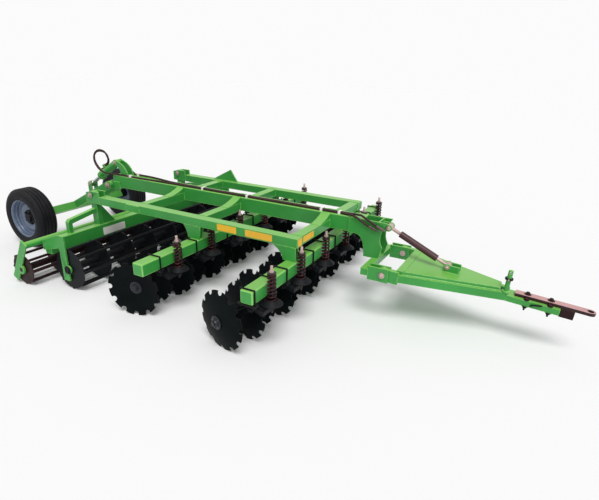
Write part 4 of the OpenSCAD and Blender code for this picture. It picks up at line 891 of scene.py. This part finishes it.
white_plate = coated("white_plate", PLATE_WHITE, PLATE_CREAM, PLATE_WHITE, rough=0.35, edge=0.0, dust=0.03,
                     cloud=6, bump=0.01)
plate = bmesh.new()
plate_middle = spot(BEAM_FRONT, *PLATE_MIDDLE)
label(plate, plate_middle, OUT_LEFT, UP, *PLATE_SIZE, thick=PLATE_T)
for across in (-PLATE_RIVET_ACROSS, PLATE_RIVET_ACROSS):
    for up in (-PLATE_RIVET_UP, PLATE_RIVET_UP):
        lathe(plate, plate_middle + OUT_LEFT * PLATE_SIZE[0] * across + UP * PLATE_SIZE[1] * up, ALONG,
              PLATE_RIVET, 12)
piece("blank_name_plate", plate, white_plate, "roller_frame")


# Bar rollers: round bars on ring plates round a shaft, one black and one in brown primer.
# Welded from bar and plate, running in bearings at the side arms.
dress(black, ["front_roller"])
dress(primer, ["rear_roller"])


# Hydraulic hoses: two runs from the couplers at the mast to the centre beam's rear end, and two loops
# from there to the lift cylinder.
# Wire-braided rubber, crimped at each end and held on the centre beam by white clips.
HOSE_BROWN = (0.046, 0.014, 0.014, 1)
HOSE_BLACK = (0.020, 0.008, 0.008, 1)
HOSE_R, HOSE_SIDES = 11, 12
NEAR_RUN = [(-2840, -65, 924), (-2760, -65, 924), (-2660, -65, 924), (-2480, -60, 924), (-2200, -50, 924),
            (-1800, -46, 924), (-1300, -46, 924), (-800, -46, 924), (-400, -46, 924), (-120, -46, 924),
            (60, -46, 924), (130, -60, 927), (190, -92, 935), (245, -112, 926), (300, -116, 900),
            (355, -116, 872), (410, -116, 852)]
FAR_RUN = [(-2840, 65, 924), (-2760, 65, 924), (-2660, 65, 924), (-2480, 42, 924), (-2200, -5, 924),
           (-1800, -21, 924), (-1300, -21, 924), (-800, -21, 924), (-400, -21, 924), (-120, -21, 924),
           (60, -21, 924), (150, -26, 927), (225, -50, 936), (290, -90, 946), (340, -116, 934),
           (390, -120, 910), (440, -120, 886), (485, -120, 866)]
NEAR_LOOP = [(-2880.3, -65, 924), (-2930, -65, 924), (-3010, -68, 925), (-3110, -80, 930), (-3200, -88, 925),
             (-3290, -92, 926), (-3390, -92, 952), (-3460, -90, 1012), (-3490, -86, 1085), (-3475, -78, 1155),
             (-3430, -68, 1198), (-3376, -58, 1208), (-3315, -48, 1186), (-3281, -38, 1115), (-3293, -30, 1068),
             (-3325, -22, 1034.6), (-3365.5, -20, 1009)]
FAR_LOOP = [(-2880.3, 65, 924), (-2930, 65, 924), (-3010, 68, 925), (-3110, 80, 930), (-3200, 88, 918),
            (-3300, 93, 892), (-3400, 94, 870), (-3520, 92, 868), (-3630, 88, 918), (-3690, 82, 1000),
            (-3690, 76, 1080), (-3630, 68, 1140), (-3540, 60, 1163), (-3455, 50, 1160), (-3388, 40, 1132),
            (-3360, 35, 1065), (-3374, 30, 1015), (-3404, 26, 985), (-3446, 22, 958), (-3488.5, 20, 931.4)]
HOSE_STEPS = 8


def smooth(points):
    """Close points on the smooth curve through a route's points."""
    way = [spot(*p) for p in points]
    last = len(way) - 1
    path = []
    for i in range(last):
        a, b, c, d = way[max(i - 1, 0)], way[i], way[i + 1], way[min(i + 2, last)]
        for k in range(HOSE_STEPS):
            t = k / HOSE_STEPS
            path.append((2 * b + (c - a) * t + (2 * a - 5 * b + 4 * c - d) * t ** 2
                         + (3 * b - a - 3 * c + d) * t ** 3) / 2)
    return path + [way[last]]


hose_black = coated("hose_rubber", HOSE_BROWN, HOSE_BLACK, HOSE_BROWN, rough=0.50, edge=0.0, dust=0.05, cloud=8,
                    texture=700, bump=0.08, shine=0.25)
white_clip = coated("clip_plastic", PLATE_WHITE, PLATE_CREAM, PLATE_WHITE, rough=0.45, edge=0.0, dust=0.04,
                    cloud=9)
dress(white_clip, ["hose_clips"], SMALL_EDGE)
COUPLER = [(0.0105, -0.030), (0.0122, -0.028), (0.0122, 0.004), (0.0105, 0.006), (0.0105, 0.010),
           (0.0138, 0.012), (0.0138, 0.040), (0.0126, 0.042), (0.0126, 0.046), (0.0112, 0.048),
           (0.0112, 0.061), (0.0100, 0.062)]
UNION_NUT = [(0.017, 0), (0.017, 0.012), (0.015, 0.014)]
FERRULE_LEN, CRIMP_STEP, CRIMP_HIGH, CRIMP_LOW = 0.042, 0.003, 0.0022, 0.0014
COUPLER_STEEL = (0.130, 0.075, 0.070, 1)
COUPLER_DULL = (0.070, 0.038, 0.036, 1)
dull_steel = coated("coupler_steel", COUPLER_STEEL, COUPLER_DULL, ZINC_DULL, rough=0.38, edge=0.4, edge_r=0.002,
                    dust=0.03, cloud=20, metal=0.4)


def path_length(path):
    """Length along a path's points."""
    return sum((b - a).length for a, b in zip(path, path[1:]))


def ferrule(mesh, path):
    """Crimped sleeve with pressed rings over the first stretch of a hose."""
    taken, gone = [path[0]], 0.0
    for a, b in zip(path, path[1:]):
        steps = max(1, round((b - a).length / CRIMP_STEP))
        taken += [a.lerp(b, k / steps) for k in range(1, steps + 1)]
        gone += (b - a).length
        if gone > FERRULE_LEN:
            break
    while path_length(taken) > FERRULE_LEN:
        taken.pop()
    sweep(mesh, taken, [HOSE_R / 1000 + (CRIMP_HIGH if k % 4 else CRIMP_LOW) for k in range(len(taken))], 14)


for name, route in (("near_hose", NEAR_RUN), ("far_hose", FAR_RUN)):
    path = smooth(route)
    tube = bmesh.new()
    sweep(tube, path, HOSE_R / 1000, HOSE_SIDES)
    run = piece(name, tube, hose_black, "frame")
    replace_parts(run, "hoses")
    coupler = bmesh.new()
    lathe(coupler, path[-1], (path[-1] - path[-2]).normalized(), COUPLER, 28)
    plug = piece(f"{name}_coupler", coupler, dull_steel, "frame")
    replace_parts(plug, "hose_couplers")
    crimp = bmesh.new()
    ferrule(crimp, path)
    sleeve = piece(f"{name}_ferrule", crimp, dull_steel, "frame")

for name, route in (("near_hose_loop", NEAR_LOOP), ("far_hose_loop", FAR_LOOP)):
    path = smooth(route)
    tube = bmesh.new()
    sweep(tube, path, HOSE_R / 1000, HOSE_SIDES)
    loop = piece(name, tube, hose_black, None)
    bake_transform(loop)
    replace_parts(loop, "hose_loops")
    crimp = bmesh.new()
    ferrule(crimp, path)
    sleeve = piece(f"{name}_ferrule", crimp, dull_steel, "frame")
    fitting = bmesh.new()
    ferrule(fitting, path[::-1])
    lathe(fitting, path[-1], (path[-2] - path[-1]).normalized(), UNION_NUT, 6)
    union = piece(f"{name}_fitting", fitting, dull_steel, "cylinder_barrel")


# Studio: a pale floor that runs out to white, soft light from above and the near side.
# The camera stands where the photograph was taken from.
FLOOR_PALE, FLOOR_ROUGH = (0.960, 0.960, 0.960, 1), 0.9
FLOOR_HALF = 60.0
FLOOR_CORNERS = ((-1, -1), (1, -1), (1, 1), (-1, 1))
SKY_LEVEL = 0.42
BACKDROP_LEVEL = 0.967
SUN_LEVEL = 1.85
FILL_LEVEL = 0.60
FILL_SPREAD = math.radians(70)
FILL_FROM = Vector((1.0, -0.55, 0.55))
SUN_SPREAD = math.radians(28)
SUN_FROM = Vector((0.34, -0.50, 1.0))
CAMERA_AT = Vector((2.8231, -4.1212, 2.2567))
CAMERA_RIGHT = Vector((0.8745, 0.4851, 0.0214))
CAMERA_DOWN = Vector((0.1952, -0.3108, -0.9303))
FOCAL_PX, IMAGE_W, SENSOR = 462.594, 599, 36.0

ground = bmesh.new()
ground.faces.new([ground.verts.new((x * FLOOR_HALF, y * FLOOR_HALF, 0)) for x, y in FLOOR_CORNERS])
floor_data = bpy.data.meshes.new("studio_floor")
ground.to_mesh(floor_data)
ground.free()
floor = bpy.data.objects.new("studio_floor", floor_data)
bpy.context.scene.collection.objects.link(floor)
pale = bpy.data.materials.new("pale_floor")
pale.use_nodes = True
paint = pale.node_tree.nodes["Principled BSDF"].inputs
paint["Base Color"].default_value = FLOOR_PALE
paint["Roughness"].default_value = FLOOR_ROUGH
paint["Specular IOR Level"].default_value = 0.0
floor_data.materials.append(pale)

world = bpy.data.worlds.new("studio_sky")
bpy.context.scene.world = world
world.use_nodes = True
sky = world.node_tree
ray = put(sky, "ShaderNodeLightPath").outputs
seen = joined(sky, "MAXIMUM", ray["Is Camera Ray"], ray["Is Glossy Ray"])
backdrop = sky.nodes["Background"]
backdrop.inputs["Color"].default_value = (1, 1, 1, 1)
sky.links.new(ranged(sky, seen, 0.0, 1.0, SKY_LEVEL, BACKDROP_LEVEL), backdrop.inputs["Strength"])

for name, power, spread, source in (("soft_key", SUN_LEVEL, SUN_SPREAD, SUN_FROM),
                                    ("soft_fill", FILL_LEVEL, FILL_SPREAD, FILL_FROM)):
    lamp = bpy.data.lights.new(name, "SUN")
    lamp.energy = power
    lamp.angle = spread
    hung = bpy.data.objects.new(name, lamp)
    hung.rotation_euler = source.to_track_quat("Z", "Y").to_euler()
    bpy.context.scene.collection.objects.link(hung)

camera_data = bpy.data.cameras.new("photo_camera")
camera_data.sensor_width = SENSOR
camera_data.sensor_fit = "HORIZONTAL"
camera_data.lens = SENSOR * FOCAL_PX / IMAGE_W
camera = bpy.data.objects.new("photo_camera", camera_data)
right, up = CAMERA_RIGHT.normalized(), (-CAMERA_DOWN).normalized()
back = right.cross(up)
camera.matrix_world = Matrix((
    (right.x, up.x, back.x, CAMERA_AT.x),
    (right.y, up.y, back.y, CAMERA_AT.y),
    (right.z, up.z, back.z, CAMERA_AT.z),
    (0, 0, 0, 1)))
bpy.context.scene.collection.objects.link(camera)
bpy.context.scene.camera = camera
bpy.context.scene.view_settings.view_transform = "Standard"
